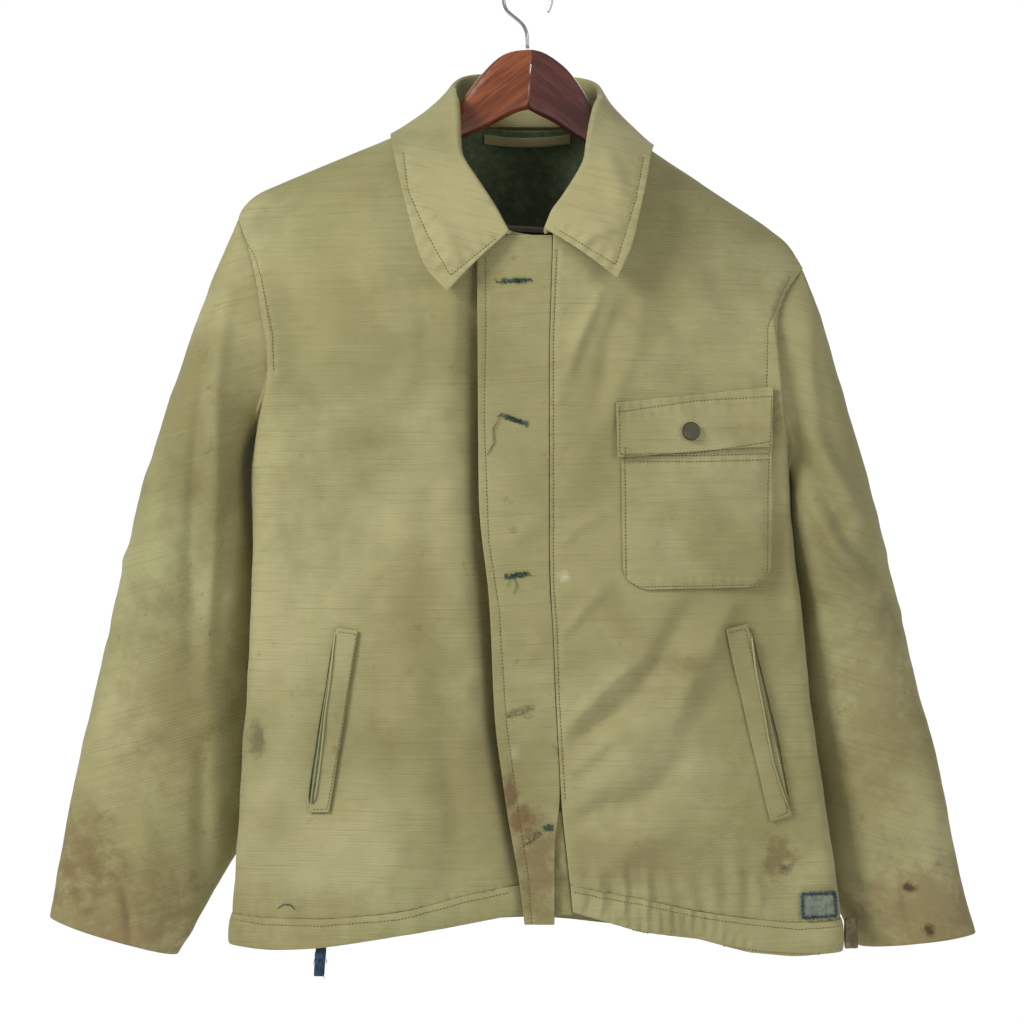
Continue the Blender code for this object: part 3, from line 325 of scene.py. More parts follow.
body = {"across": 0, "out": -10, "width": 240, "depth": 62}
# seams where a sleeve meets the body, as (across, drop)
armholes = [
    [(-243, 164), (-233, 180), (-227, 198), (-221, 225), (-216, 248), (-215, 280), (-219, 330),
     (-224, 372)],
    [(230, 196), (221, 212), (213, 230), (208, 240), (206, 290), (212, 330)]]

# creases that hang in the cloth: route (across, drop), height in mm, half width in mm
frontCreases = [
    {"route": [(62, 214), (45, 250), (27, 300)], "height": 1.8, "width": 6},
    {"route": [(80, 222), (66, 262), (58, 330)], "height": -1.6, "width": 8},
    {"route": [(100, 200), (90, 260), (60, 330), (30, 380)], "height": 1.2, "width": 9},
    {"route": [(24, 585), (66, 545), (112, 512)], "height": 2.2, "width": 6},
    {"route": [(28, 600), (62, 570), (105, 545)], "height": -1.6, "width": 5},
    {"route": [(28, 622), (66, 590), (102, 570)], "height": 2.0, "width": 6},
    {"route": [(26, 505), (50, 475), (74, 452)], "height": 1.7, "width": 6},
    {"route": [(24, 430), (40, 412), (66, 400)], "height": 1.2, "width": 5},
    {"route": [(34, 660), (70, 640), (104, 646)], "height": -1.8, "width": 8},
    {"route": [(142, 468), (112, 520), (76, 556), (46, 596)], "height": -3.0, "width": 12},
    {"route": [(168, 478), (134, 546), (96, 590), (60, 622)], "height": 2.4, "width": 13},
    {"route": [(140, 596), (100, 632), (56, 650)], "height": -2.6, "width": 12},
    {"route": [(60, 662), (110, 628), (168, 640)], "height": -1.9, "width": 12},
    {"route": [(60, 700), (100, 668), (170, 672)], "height": 1.5, "width": 10},
    {"route": [(148, 530), (160, 495), (176, 470)], "height": 1.4, "width": 7},
    {"route": [(112, 600), (130, 560), (140, 500)], "height": 1.3, "width": 9},
    {"route": [(204, 300), (208, 380), (214, 500)], "height": -1.6, "width": 10},
    {"route": [(214, 345), (190, 300), (168, 262)], "height": 1.6, "width": 11},
    {"route": [(212, 360), (178, 330), (140, 312)], "height": -1.2, "width": 9},
    {"route": [(-212, 352), (-190, 405), (-160, 436)], "height": 2.0, "width": 11},
    {"route": [(-204, 366), (-195, 440), (-190, 520)], "height": -1.8, "width": 11},
    {"route": [(-200, 300), (-165, 330), (-120, 340)], "height": 1.3, "width": 12},
    {"route": [(-92, 300), (-104, 450), (-92, 640), (-84, 730)], "height": 2.4, "width": 20},
    {"route": [(-74, 570), (-60, 660), (-66, 730)], "height": -1.6, "width": 11},
    {"route": [(-200, 560), (-215, 650), (-222, 730)], "height": 1.8, "width": 15},
    {"route": [(-128, 600), (-112, 670), (-118, 735)], "height": 1.5, "width": 12},
    {"route": [(-112, 175), (-150, 230), (-185, 300)], "height": 1.6, "width": 17},
    {"route": [(-88, 215), (-84, 260), (-96, 330)], "height": -1.5, "width": 10},
    {"route": [(100, 165), (150, 225), (185, 285)], "height": 1.5, "width": 16},
    {"route": [(-30, 400), (-10, 420), (14, 405)], "height": 0.9, "width": 6},
    {"route": [(-26, 505), (0, 520), (20, 500)], "height": 1.0, "width": 7},
    {"route": [(-20, 600), (2, 620), (26, 606)], "height": -1.0, "width": 7},
    {"route": [(-6, 690), (14, 700), (34, 690)], "height": 1.2, "width": 7},
    {"route": [(-36, 220), (-10, 232), (16, 222)], "height": 0.9, "width": 7}]
# the right front rolls back under the edge of the fly, deepest beside the chest and shallow at the hem
underFly = [{"route": [(14, 764), (6, 716), (-6, 668), (-13, 630), (-20, 580), (-24, 520), (-29, 470),
                       (-33, 420), (-34, 321), (-33, 245), (-33, 196)], "height": -8.0, "width": 12.5}]
backCreases = [
    {"route": [(-196, 345), (-130, 385), (-50, 400)], "height": 2.6, "width": 14},
    {"route": [(200, 330), (140, 378), (60, 396)], "height": 2.3, "width": 13},
    {"route": [(-180, 300), (-130, 330), (-70, 335)], "height": -1.8, "width": 12},
    {"route": [(182, 292), (120, 322), (66, 330)], "height": -1.7, "width": 12},
    {"route": [(2, 400), (-8, 560), (8, 720)], "height": -2.8, "width": 24},
    {"route": [(-118, 440), (-138, 580), (-130, 735)], "height": 2.3, "width": 19},
    {"route": [(112, 450), (132, 600), (122, 735)], "height": 2.1, "width": 17},
    {"route": [(-60, 480), (-66, 600), (-50, 730)], "height": 1.4, "width": 13},
    {"route": [(62, 500), (54, 620), (66, 735)], "height": 1.5, "width": 14},
    {"route": [(-36, 130), (-80, 200), (-110, 270)], "height": 1.5, "width": 15},
    {"route": [(38, 130), (84, 205), (110, 262)], "height": 1.4, "width": 14},
    {"route": [(-190, 690), (-110, 640), (-50, 610)], "height": 1.7, "width": 11},
    {"route": [(196, 700), (120, 655), (60, 628)], "height": -1.6, "width": 11}]
# the hem band is drawn in at the foot of the left front, so the cloth above stands in small gathers
for place in range(16):
    frontCreases.append({"route": [(50 + 9.5 * place, 738), (52 + 9.5 * place, 722),
                                   (48 + 9.5 * place + random.uniform(-5, 5),
                                    690 + random.uniform(-8, 12))],
                         "height": random.uniform(0.6, 1.2) * (1 if place % 2 else -1), "width": 3.4})
for place in range(15):
    frontCreases.append({"route": [(-240 + 13 * place, 762), (-239 + 13 * place, 745),
                                   (-242 + 13 * place + random.uniform(-6, 6),
                                    712 + random.uniform(-8, 12))],
                         "height": random.uniform(0.3, 0.8) * (1 if place % 2 else -1), "width": 3.6})
    backCreases.append({"route": [(-210 + 29 * place, 755), (-208 + 29 * place, 730),
                                  (-212 + 29 * place, 690)],
                        "height": random.uniform(0.6, 1.3) * (1 if place % 2 else -1), "width": 6})

collarFolds = [
    {"route": [(-50, 143), (-32, 146), (-16, 140)], "height": -2.0, "width": 4},
    {"route": [(-98, 100), (-78, 112), (-64, 118)], "height": -1.9, "width": 7},
    {"route": [(-80, 150), (-66, 172), (-60, 196)], "height": 1.9, "width": 8},
    {"route": [(22, 141), (50, 142), (84, 146)], "height": -1.8, "width": 4},
    {"route": [(40, 176), (58, 168), (80, 160)], "height": 1.8, "width": 6},
    {"route": [(66, 96), (74, 120), (76, 150)], "height": 1.8, "width": 9}]
rightSleeveFront = [
    {"route": [(-252, 190), (-263, 285), (-266, 389), (-268, 508), (-270, 600)], "height": 3.2, "width": 9},
    {"route": [(-268, 235), (-280, 320), (-284, 420), (-286, 540)], "height": -2.6, "width": 8},
    {"route": [(-250, 380), (-262, 470), (-268, 560)], "height": -1.8, "width": 6},
    {"route": [(-276, 590), (-279, 660), (-274, 735)], "height": -2.2, "width": 8},
    {"route": [(-330, 350), (-312, 430), (-318, 520)], "height": 1.6, "width": 14},
    {"route": [(-352, 430), (-322, 465), (-298, 470)], "height": 1.7, "width": 8},
    {"route": [(-362, 500), (-330, 530), (-300, 528)], "height": -1.6, "width": 9},
    {"route": [(-370, 590), (-340, 600), (-306, 580)], "height": 1.5, "width": 9},
    {"route": [(-345, 712), (-338, 740), (-336, 768)], "height": -1.7, "width": 4},
    {"route": [(-314, 774), (-296, 762), (-280, 742)], "height": 1.8, "width": 5},
    {"route": [(-385, 690), (-350, 700), (-320, 690)], "height": 1.2, "width": 8},
    {"route": [(-330, 640), (-322, 690), (-318, 740)], "height": 1.4, "width": 9}]
leftSleeveFront = [
    {"route": [(222, 350), (226, 400), (230, 450)], "height": 1.8, "width": 9},
    {"route": [(234, 322), (262, 372), (292, 420)], "height": 2.8, "width": 8},
    {"route": [(232, 352), (258, 398), (284, 446)], "height": -2.4, "width": 7},
    {"route": [(236, 385), (262, 428), (296, 462)], "height": 2.6, "width": 8},
    {"route": [(240, 425), (266, 452), (300, 478)], "height": -2.0, "width": 6},
    {"route": [(246, 462), (272, 478), (304, 488)], "height": 1.9, "width": 6},
    {"route": [(250, 520), (276, 510), (302, 512)], "height": -1.5, "width": 7},
    {"route": [(262, 716), (280, 730), (300, 746)], "height": 1.9, "width": 5},
    {"route": [(300, 300), (336, 420), (352, 560), (362, 690)], "height": 1.6, "width": 14},
    {"route": [(262, 560), (280, 640), (300, 730)], "height": 1.7, "width": 11},
    {"route": [(246, 245), (252, 300), (262, 350)], "height": -1.8, "width": 8},
    {"route": [(268, 235), (286, 300), (298, 360)], "height": 1.5, "width": 11},
    {"route": [(318, 700), (322, 735), (330, 765)], "height": -1.5, "width": 5}]
sleeveBack = [
    {"route": [(300, 330), (280, 400), (300, 470)], "height": 2.2, "width": 11},
    {"route": [(330, 430), (300, 455), (262, 450)], "height": -2.2, "width": 9},
    {"route": [(340, 470), (310, 492), (270, 486)], "height": 2.4, "width": 8},
    {"route": [(345, 520), (315, 520), (280, 508)], "height": -1.7, "width": 9},
    {"route": [(330, 560), (336, 650), (350, 740)], "height": 1.8, "width": 12},
    {"route": [(290, 600), (300, 670), (318, 745)], "height": -1.6, "width": 10}]
rightSleeveBack = [dict(fold, route=[(-x - 12, drop + 12) for x, drop in fold["route"]])
                   for fold in sleeveBack]
foldFactor = 2.1              # the heights above are scaled by this, as judged against the photo


def readPoints(mesh, what="co", group="vertices"):
    items = getattr(mesh, group)
    values = np.empty(len(items) * 3, np.float32)
    items.foreach_get(what, values)
    return values.reshape(-1, 3).astype(float)


def reach(flat, route):
    # each point's distance from a route and its share of the way along it
    route = np.array(route, float)
    lengths = np.linalg.norm(np.diff(route, axis=0), axis=1)
    far = np.full(len(flat), 1e9)
    share = np.zeros(len(flat))
    passed = 0.0
    for start, end, length in zip(route[:-1], route[1:], lengths):
        way = (end - start) / length
        along = np.clip((flat - start) @ way, 0, length)
        gap = np.linalg.norm(flat - start - along[:, None] * way, axis=1)
        nearer = gap < far
        far[nearer] = gap[nearer]
        share[nearer] = ((passed + along) / lengths.sum())[nearer]
        passed += length
    return far, share


def creaseHeight(flat, creases):
    height = np.zeros(len(flat))
    for fold in creases:
        far, share = reach(flat, fold["route"])
        taper = np.sin(np.pi * np.clip(share, 0.02, 0.98)) ** 0.6
        wide = fold["width"] * (0.8 + 0.4 * share)
        height += foldFactor * fold["height"] * np.exp(-(far / wide) ** 2) * taper
    return height


def seamHeight(flat, seams):
    # cloth is drawn in along a row of stitches and puckers beside it
    height = np.zeros(len(flat))
    for seam in seams:
        far, share = reach(flat, seam["route"])
        length = np.linalg.norm(np.diff(np.array(seam["route"], float), axis=0), axis=1).sum() * share
        waves = np.sin(length / seam.get("pitch", 9) * 2 * np.pi + 3 * np.sin(length / 31))
        height -= seam.get("draw", 0.7) * np.exp(-(far / 2.4) ** 2)
        height += seam.get("pucker", 0.4) * waves * np.exp(-((far - 4.5) / 5) ** 2)
    return height


def unevenness(spots, size, seed):
    rng = np.random.default_rng(seed)
    total = np.zeros(len(spots))
    for _ in range(8):
        way = rng.normal(size=3)
        way /= np.linalg.norm(way)
        length = size * mm * rng.uniform(0.7, 1.6)
        total += np.sin(spots @ way * 2 * np.pi / length + rng.uniform(0, 6.28))
    return total / 8


def outField(spots, hub):
    # the way out from the body's or the sleeve's middle, the same for a wall's outer and inner face
    drop = -spots[:, 2] / mm
    sides = [np.interp(drop, hub["drop"], hub[key]) if "drop" in hub else hub[key]
             for key in ("across", "out", "width", "depth")]
    across, out, width, depth = [side * mm for side in sides]
    ways = np.stack([(spots[:, 0] - across) / width ** 2, (spots[:, 1] - out) / depth ** 2,
                     np.zeros(len(spots))], axis=1)
    return ways / np.maximum(np.linalg.norm(ways, axis=1), 1e-9)[:, None]


def sleeveHub(spots):
    drop = -spots[:, 2] / mm
    hub = {"drop": [], "across": [], "out": [], "width": [], "depth": []}
    for place in np.arange(drop.min() + 70, drop.max() - 30, 20):
        slab = spots[np.abs(drop - place) < 14] / mm
        low, high = slab.min(axis=0), slab.max(axis=0)
        hub["drop"].append(place)
        hub["across"].append((low[0] + high[0]) / 2)
        hub["out"].append((low[1] + high[1]) / 2)
        hub["width"].append((high[0] - low[0]) / 2)
        hub["depth"].append((high[1] - low[1]) / 2)
    return hub


def dressCloth(mesh, hub, front, back, seams, rough, lift=0.0, rise=0.0):
    spots = readPoints(mesh)
    ways = outField(spots, hub)
    flat = np.stack([spots[:, 0] / mm, -spots[:, 2] / mm - hookToWood], axis=1)
    facing = np.clip(0.5 - 1.5 * ways[:, 1], 0, 1)
    height = facing * creaseHeight(flat, front) + (1 - facing) * creaseHeight(flat, back)
    for tall, size, seed in ((2.6, 95, 3), (1.5, 38, 7), (0.5, 15, 11)):
        height += rough * tall * unevenness(spots, size, seed)
    seam = np.minimum(reach(flat, armholes[0])[0], reach(flat, armholes[1])[0])
    height *= np.clip(seam / 22, 0.05, 1)
    height = np.where((height < 0) & (flat[:, 1] < 190), 0.4 * height, height)
    height += facing * seamHeight(flat, seams)
    moved = spots + ways * height[:, None] * mm
    moved[:, 2] += lift * mm
    # the foot of the back hangs higher in its middle than at its sides
    nearMiddle = np.exp(-((flat[:, 0] - 5) / 95) ** 2)
    nearFoot = np.clip((flat[:, 1] - 640) / 100, 0, 1)
    moved[:, 2] += rise * mm * nearMiddle * nearFoot
    mesh.vertices.foreach_set("co", moved.reshape(-1).astype(np.float32))
    mesh.update()


def cloneNode(node, name, level):
    # a CAD wall as quads, its rims held sharp, made finer
    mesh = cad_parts[node].data.copy()
    mesh.materials.clear()
    piece = bpy.data.objects.new(name, mesh)
    bpy.context.scene.collection.objects.link(piece)
    shape = bmesh.new()
    shape.from_mesh(mesh)
    bmesh.ops.remove_doubles(shape, verts=shape.verts, dist=0.02 * mm)
    bmesh.ops.join_triangles(shape, faces=shape.faces, angle_face_threshold=math.radians(50),
                             angle_shape_threshold=math.radians(180))
    crease = shape.edges.layers.float.get("crease_edge") or shape.edges.layers.float.new("crease_edge")
    for edge in shape.edges:
        if len(edge.link_faces) == 2 and edge.calc_face_angle(0) > math.radians(62):
            edge[crease] = 0.9
    shape.to_mesh(mesh)
    shape.free()
    bpy.ops.object.select_all(action="DESELECT")
    bpy.context.view_layer.objects.active = piece
    piece.select_set(True)
    finer = piece.modifiers.new("finer", "SUBSURF")
    finer.levels = finer.render_levels = level
    bpy.ops.object.modifier_apply(modifier="finer")
    return piece


def lineInside(piece, hub, lining):
    # faces that look in to the hub are the lining side
    mesh = piece.data
    mesh.materials.append(lining)
    middles = readPoints(mesh, "center", "polygons")
    normals = readPoints(mesh, "normal", "polygons")
    flat = np.stack([middles[:, 0] / mm, -middles[:, 2] / mm - hookToWood], axis=1)
    fromSeam = np.minimum(reach(flat, armholes[0])[0], reach(flat, armholes[1])[0])
    inward = ((outField(middles, hub) * normals).sum(axis=1) < -0.2) & (fromSeam > 14)
    mesh.polygons.foreach_set("material_index", inward.astype(np.int32))


hemTop = [(-249, 742), (-220, 746), (-175, 746), (-108, 739), (-49, 723), (-15, 716)]
hemLow = [(-160, 766), (-108, 758), (-40, 741), (-8, 736)]
leftHemTop = [(38, 715), (61, 720), (95, 726), (146, 738), (187, 745), (228, 750), (264, 748)]
leftHemLow = [(40, 736), (95, 749), (146, 759), (200, 768), (255, 772)]
flyEdge = [(-35.5, 186), (-35.3, 245), (-36.5, 321), (-32.7, 423), (-24, 480), (-21, 530),
           (-18, 575), (-12, 620), (-7, 657), (0, 700), (3, 742)]
flySeam = [(24, 180), (21, 255), (21, 455), (24, 495), (26, 555), (29, 605), (31, 640)]
collarRight = [(-105, 96), (-100, 131), (-84, 168), (-64.5, 203), (-24, 170)]
collarLeft = [(97.5, 100), (89.5, 139), (72.5, 194), (25, 164.5)]
pocketEdge = [(80.5, 345), (81.5, 455), (92, 461.5), (190, 460), (201, 451), (203, 340)]
pocketMouth = [(80, 352), (140, 352), (203, 350)]
flapEdge = [(76, 311), (76, 351), (140, 350), (203, 340), (204, 298)]
flapTop = [(75, 316), (140, 306), (205, 302)]
weltRight = [(-158, 499), (-143, 501), (-155, 575), (-168, 648), (-181, 648)]
weltLeft = [(168, 500), (182, 497), (200, 570), (218, 651), (206, 656)]
armholeStitch = [[(x + 1.5, drop + 2) for x, drop in armholes[0][:6]],
                 [(x - 5.5, drop + 2) for x, drop in armholes[1]]]

# piece: node, name, material, subdivision, cut size in m, cut area in m2, lined, what it hangs on, seams
clothPieces = [
    {"node": "front_right", "name": "right_front", "cloth": "body", "level": 3, "flat": (0.30, 0.66),
     "area": 0.1645, "lined": True, "on": "hanger_arm_right", "seams": [
         {"route": armholeStitch[0], "pucker": 0.5}, {"route": hemTop, "draw": 0.9, "pucker": 0.5}]},
    {"node": "front_left", "name": "left_front", "cloth": "body", "level": 3, "flat": (0.27, 0.66),
     "area": 0.1385, "lined": True, "on": "hanger_arm_left", "seams": [
         {"route": armholeStitch[1], "pucker": 0.5},
         {"route": flySeam, "draw": 1.2, "pucker": 0.7, "pitch": 13},
         {"route": leftHemTop, "draw": 0.9, "pucker": 0.6}]},
    {"node": "back_panel", "name": "back", "cloth": "body", "level": 2, "flat": (0.56, 0.70),
     "area": 0.3455, "lined": True, "on": "hanger_arm_right", "seams": []},
    {"node": "sleeve_right", "name": "right_sleeve", "cloth": "right sleeve", "level": 3,
     "flat": (0.40, 0.64), "area": 0.181, "lined": True, "on": "front_right", "seams": []},
    {"node": "sleeve_left", "name": "left_sleeve", "cloth": "left sleeve", "level": 3,
     "flat": (0.36, 0.58), "area": 0.149, "lined": True, "on": "front_left", "seams": []},
    {"node": "collar", "name": "folded_collar", "cloth": "collar", "level": 3, "flat": (0.56, 0.11),
     "area": 0.054, "on": "back_panel", "seams": [
         {"route": collarRight, "draw": 1.0, "pucker": 0.8, "pitch": 11},
         {"route": collarLeft, "draw": 1.0, "pucker": 0.8, "pitch": 11}]},
    {"node": "fly", "name": "button_fly", "cloth": "fly", "level": 3, "flat": (0.06, 0.575),
     "area": 0.0297, "on": "front_left", "seams": [
         {"route": flyEdge, "draw": 0.5, "pucker": 0.35},
         {"route": flySeam, "draw": 0.9, "pucker": 0.6, "pitch": 13}]},
    {"node": "fly_facing", "name": "facing_behind_fly", "cloth": "fly", "level": 2, "flat": (0.034, 0.087),
     "area": 0.0027, "on": "front_left", "seams": []},
    {"node": "hem_right", "name": "right_hem_band", "cloth": "body", "level": 3, "flat": (0.27, 0.032),
     "area": 0.0075, "on": "front_right", "seams": [{"route": hemLow, "draw": 0.3, "pucker": 0.4}]},
    {"node": "hem_left", "name": "left_hem_band", "cloth": "body", "level": 2, "flat": (0.25, 0.034),
     "area": 0.0075, "on": "front_left", "seams": [{"route": leftHemLow, "draw": 0.3, "pucker": 0.4}]},
    {"node": "hem_back", "name": "back_hem_band", "cloth": "body", "level": 3, "flat": (0.54, 0.034),
     "area": 0.018, "on": "back_panel", "seams": []},
    {"node": "chest_pocket", "name": "patch_pocket", "cloth": "body", "level": 3, "flat": (0.13, 0.13),
     "area": 0.0165, "on": "front_left", "seams": [{"route": pocketEdge, "draw": 0.5, "pucker": 0.2},
                                                 {"route": pocketMouth, "draw": 0.3, "pucker": 0.3}]},
    {"node": "chest_flap", "name": "pocket_flap", "cloth": "body", "level": 3, "flat": (0.134, 0.05),
     "area": 0.0064, "on": "chest_pocket", "seams": [{"route": flapTop, "draw": 0.5, "pucker": 0.25}]},
    {"node": "welt_right", "name": "right_pocket_welt", "cloth": "fly", "level": 3, "flat": (0.018, 0.155),
     "area": 0.0027, "on": "front_right", "seams": []},
    {"node": "welt_left", "name": "left_pocket_welt", "cloth": "fly", "level": 3, "flat": (0.02, 0.165),
     "area": 0.0032, "on": "front_left", "seams": []},
    {"node": "hang_loop", "name": "hanging_loop", "cloth": "collar", "level": 2, "flat": (0.078, 0.010),
     "area": 0.0006, "on": "collar", "seams": []}]

made = {}
for spec in clothPieces:
    piece = cloneNode(spec["node"], spec["name"], spec["level"])
    piece.data.materials.append(cloth[spec["cloth"]])
    spots = readPoints(piece.data)
    hub, front, back, rough = body, frontCreases, backCreases, 1.0
    if spec["node"] == "sleeve_right":
        hub, front, back, rough = sleeveHub(spots), rightSleeveFront, rightSleeveBack, 0.8
    if spec["node"] == "sleeve_left":
        hub, front, back, rough = sleeveHub(spots), leftSleeveFront, sleeveBack, 0.8
    if spec["node"] in ("collar", "hang_loop"):
        front, back, rough = collarFolds, [], 0.9
    if spec["node"] in ("front_right", "hem_right"):
        front = frontCreases + underFly
    # a hem band is lifted until no light shows between it and the cloth that is sewn into it
    dressCloth(piece.data, hub, front, back, spec["seams"], rough,
               lift=1.0 if spec["node"].startswith("hem") else 0.0,
               rise=11.0 if spec["node"] in ("back_panel", "hem_back") else 0.0)
    if spec.get("lined"):
        lineInside(piece, hub, pile)
    bpy.ops.object.shade_smooth_by_angle(angle=math.radians(50))
    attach(piece, "root")
    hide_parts(spec["node"])
    made[spec["node"]] = piece
    print(spec["name"], len(piece.data.polygons) * 2)
print("cloth pieces made")


# small fittings

trimPieces = [
    {"node": "hook_loop_patch", "name": "hook_tape_patch", "finish": hookTape, "slot": "patch", "level": 2},
    {"node": "strap_end", "name": "cut_strap_end", "finish": webbing, "slot": "strap", "level": 2},
    {"node": "side_tab", "name": "worn_side_tab", "finish": tabCloth, "slot": "shell", "level": 2},
    {"node": "hanger_arm_right", "name": "right_hanger_arm", "finish": rightWoodPaintedSheen, "slot": "wood",
     "level": 2},
    {"node": "hanger_arm_left", "name": "left_hanger_arm", "finish": leftWood, "slot": "wood", "level": 2},
    {"node": "hanger_hook", "name": "hanger_hook_wire", "finish": wire, "slot": "hook_wire", "level": 2}]
for spec in trimPieces:
    piece = cloneNode(spec["node"], spec["name"], spec["level"])
    piece.data.materials.append(spec["finish"])
    if spec["node"].startswith("hanger_arm"):
        # the arms meet at a glued joint in the middle, with no light between them
        spots = readPoints(piece.data)
        toJoint = 1 if spec["node"] == "hanger_arm_right" else -1
        spots[:, 0] += toJoint * 0.8 * mm * np.clip(1 - np.abs(spots[:, 0] - 2 * mm) / (9 * mm), 0, 1)
        piece.data.vertices.foreach_set("co", spots.reshape(-1).astype(np.float32))
    if spec["node"] in ("hook_loop_patch", "strap_end", "side_tab"):
        dressCloth(piece.data, body, frontCreases, backCreases, [], 1.0)
    bpy.ops.object.shade_smooth_by_angle(angle=math.radians(40))
    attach(piece, "root")
    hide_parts(spec["node"])
    made[spec["node"]] = piece
for node, finish in (("hanger_bar", leftWood), ("flap_snap", snapPaint)):
    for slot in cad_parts[node].material_slots:
        slot.material = finish
print("trim and hanger made")


# stitches and threads

def makeTree(nodes):
    # one search tree over the finished pieces that a row of stitches may lie on
    corners, faces = [], []
    for node in nodes:
        mesh = made[node].data
        faces += [[index + len(corners) for index in face.vertices] for face in mesh.polygons]
        corners += [vertex.co.copy() for vertex in mesh.vertices]
    return BVHTree.FromPolygons(corners, faces)


def onCloth(tree, across, drop, side=-1):
    start = Vector((across * mm, side * 0.3, -(drop + hookToWood) * mm))
    hit, normal, _, _ = tree.ray_cast(start, Vector((0, -side, 0)))
    if hit is None:
        return None, None
    return hit, normal if normal.y * side > 0 else -normal


def along(route, pitch):
    # points at an even pitch along a route
    route = np.array(route, float)
    lengths = np.linalg.norm(np.diff(route, axis=0), axis=1)
    walked = np.concatenate([[0], np.cumsum(lengths)])
    places = np.arange(0, walked[-1], pitch)
    return np.stack([np.interp(places, walked, route[:, axis]) for axis in (0, 1)], axis=1)


def threadTube(shape, places, radius, sides=5):
    # a thread along a few places, its ends closed
    rings = []
    for index, place in enumerate(places):
        way = (places[min(index + 1, len(places) - 1)] - places[max(index - 1, 0)]).normalized()
        side = way.cross(Vector((0.3, 1, 0.2))).normalized()
        other = way.cross(side)
        thin = 0.55 if index in (0, len(places) - 1) else 1.0
        rings.append([shape.verts.new(place + (side * math.cos(6.2832 * turn / sides)
                                               + other * math.sin(6.2832 * turn / sides)) * radius * thin)
                      for turn in range(sides)])
    for first, second in zip(rings[:-1], rings[1:]):
        for turn in range(sides):
            after = (turn + 1) % sides
            shape.faces.new((first[turn], first[after], second[after], second[turn]))
    shape.faces.new(rings[0][::-1])
    shape.faces.new(rings[-1])


def finishThreads(shape, name, material):
    bmesh.ops.recalc_face_normals(shape, faces=shape.faces)
    mesh = bpy.data.meshes.new(name)
    shape.to_mesh(mesh)
    shape.free()
    mesh.materials.append(material)
    mesh.polygons.foreach_set("use_smooth", [True] * len(mesh.polygons))
    piece = bpy.data.objects.new(name, mesh)
    bpy.context.scene.collection.objects.link(piece)
    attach(piece, "root")
    print(name, len(mesh.polygons))


stitch = {"pitch": 3.0, "length": 2.1, "radius": 0.42}     # mm
stitchRows = [
    {"on": ["collar"], "routes": [collarRight, collarLeft]},
    {"on": ["fly"], "routes": [flyEdge, [(-34, 165), (18, 165)]]},
    {"on": ["front_right", "hem_right"], "routes": [armholeStitch[0], hemTop, hemLow]},
    {"on": ["front_left", "hem_left", "fly"],
     "routes": [armholeStitch[1], leftHemTop, leftHemLow, flySeam]},
    {"on": ["chest_pocket", "chest_flap"], "routes": [pocketEdge, flapEdge, flapTop, pocketMouth,
                                                    [(x, drop + 5) for x, drop in pocketMouth]]},
    {"on": ["welt_right"], "routes": [weltRight]},
    {"on": ["welt_left"], "routes": [weltLeft]},
    {"on": ["hook_loop_patch"],
     "routes": [[(231, 721), (257, 720.5), (258, 738), (232, 738.5), (231, 721)]]},
    {"on": ["back_panel", "hem_back"], "side": 1, "routes": [
        [(-240, 744), (0, 742), (262, 746)], [(x - 6, drop) for x, drop in armholes[1]],
        [(x + 6, drop) for x, drop in armholes[0]]]}]
stitches = bmesh.new()
for row in stitchRows:
    tree = makeTree(row["on"])
    for route in row["routes"]:
        places = along(route, stitch["pitch"])
        for here, after in zip(places[:-1], places[1:]):
            way = (after - here) / np.linalg.norm(after - here)
            spots = []
            for step in (0, 0.5, 1):
                across, drop = here + way * stitch["length"] * step + [random.uniform(-0.15, 0.15)] * 2
                hit, normal = onCloth(tree, across, drop, row.get("side", -1))
                if hit is not None:
                    spots.append(hit + normal * (0.30 if step == 0.5 else 0.02) * mm)
            if len(spots) == 3 and (spots[2] - spots[0]).length < 2 * stitch["length"] * mm:
                threadTube(stitches, spots, stitch["radius"] * mm, 4)
finishThreads(stitches, "topstitching", seamThread)

# the hand pockets' mouths: a thin dark strip laid on the cloth beside each welt, painted shade for the
# opening into the pocket (the right one in the green pile of the pocket bag, the left one in a darker copy
# of the olive cloth), and the welt's free edge rolled up
mouths = [
    # painted shade: a strip of green pile laid on the cloth where the pocket opening is dark
    {"name": "right_pocket_mouth", "on": ["front_right", "welt_right"], "finish": pile,
     "edge": [(-160.3, 497), (-163, 520), (-166, 545), (-169.6, 570), (-172, 595), (-174.7, 617),
              (-177, 632), (-179.3, 645)],
     "outer": [(-160.8, 497), (-165, 520), (-169, 545), (-173.6, 570), (-177.5, 595), (-181, 617),
               (-183, 632), (-184, 645)]},
    # painted shade: a strip of darker olive cloth laid on the cloth where the pocket opening is dark
    {"name": "left_pocket_mouth", "on": ["front_left", "welt_left"], "finish": paintedShadeCloth,
     "edge": [(186.6, 497), (190, 525), (194, 548), (196.8, 561), (201, 585), (206, 610),
              (213, 632), (220.0, 650)],
     "outer": [(187.2, 497), (194, 525), (200, 548), (204, 565), (210, 588), (214.5, 612),
               (218, 632), (221.0, 651)]}]
rolls = {"edge": bmesh.new(), "outer": bmesh.new()}
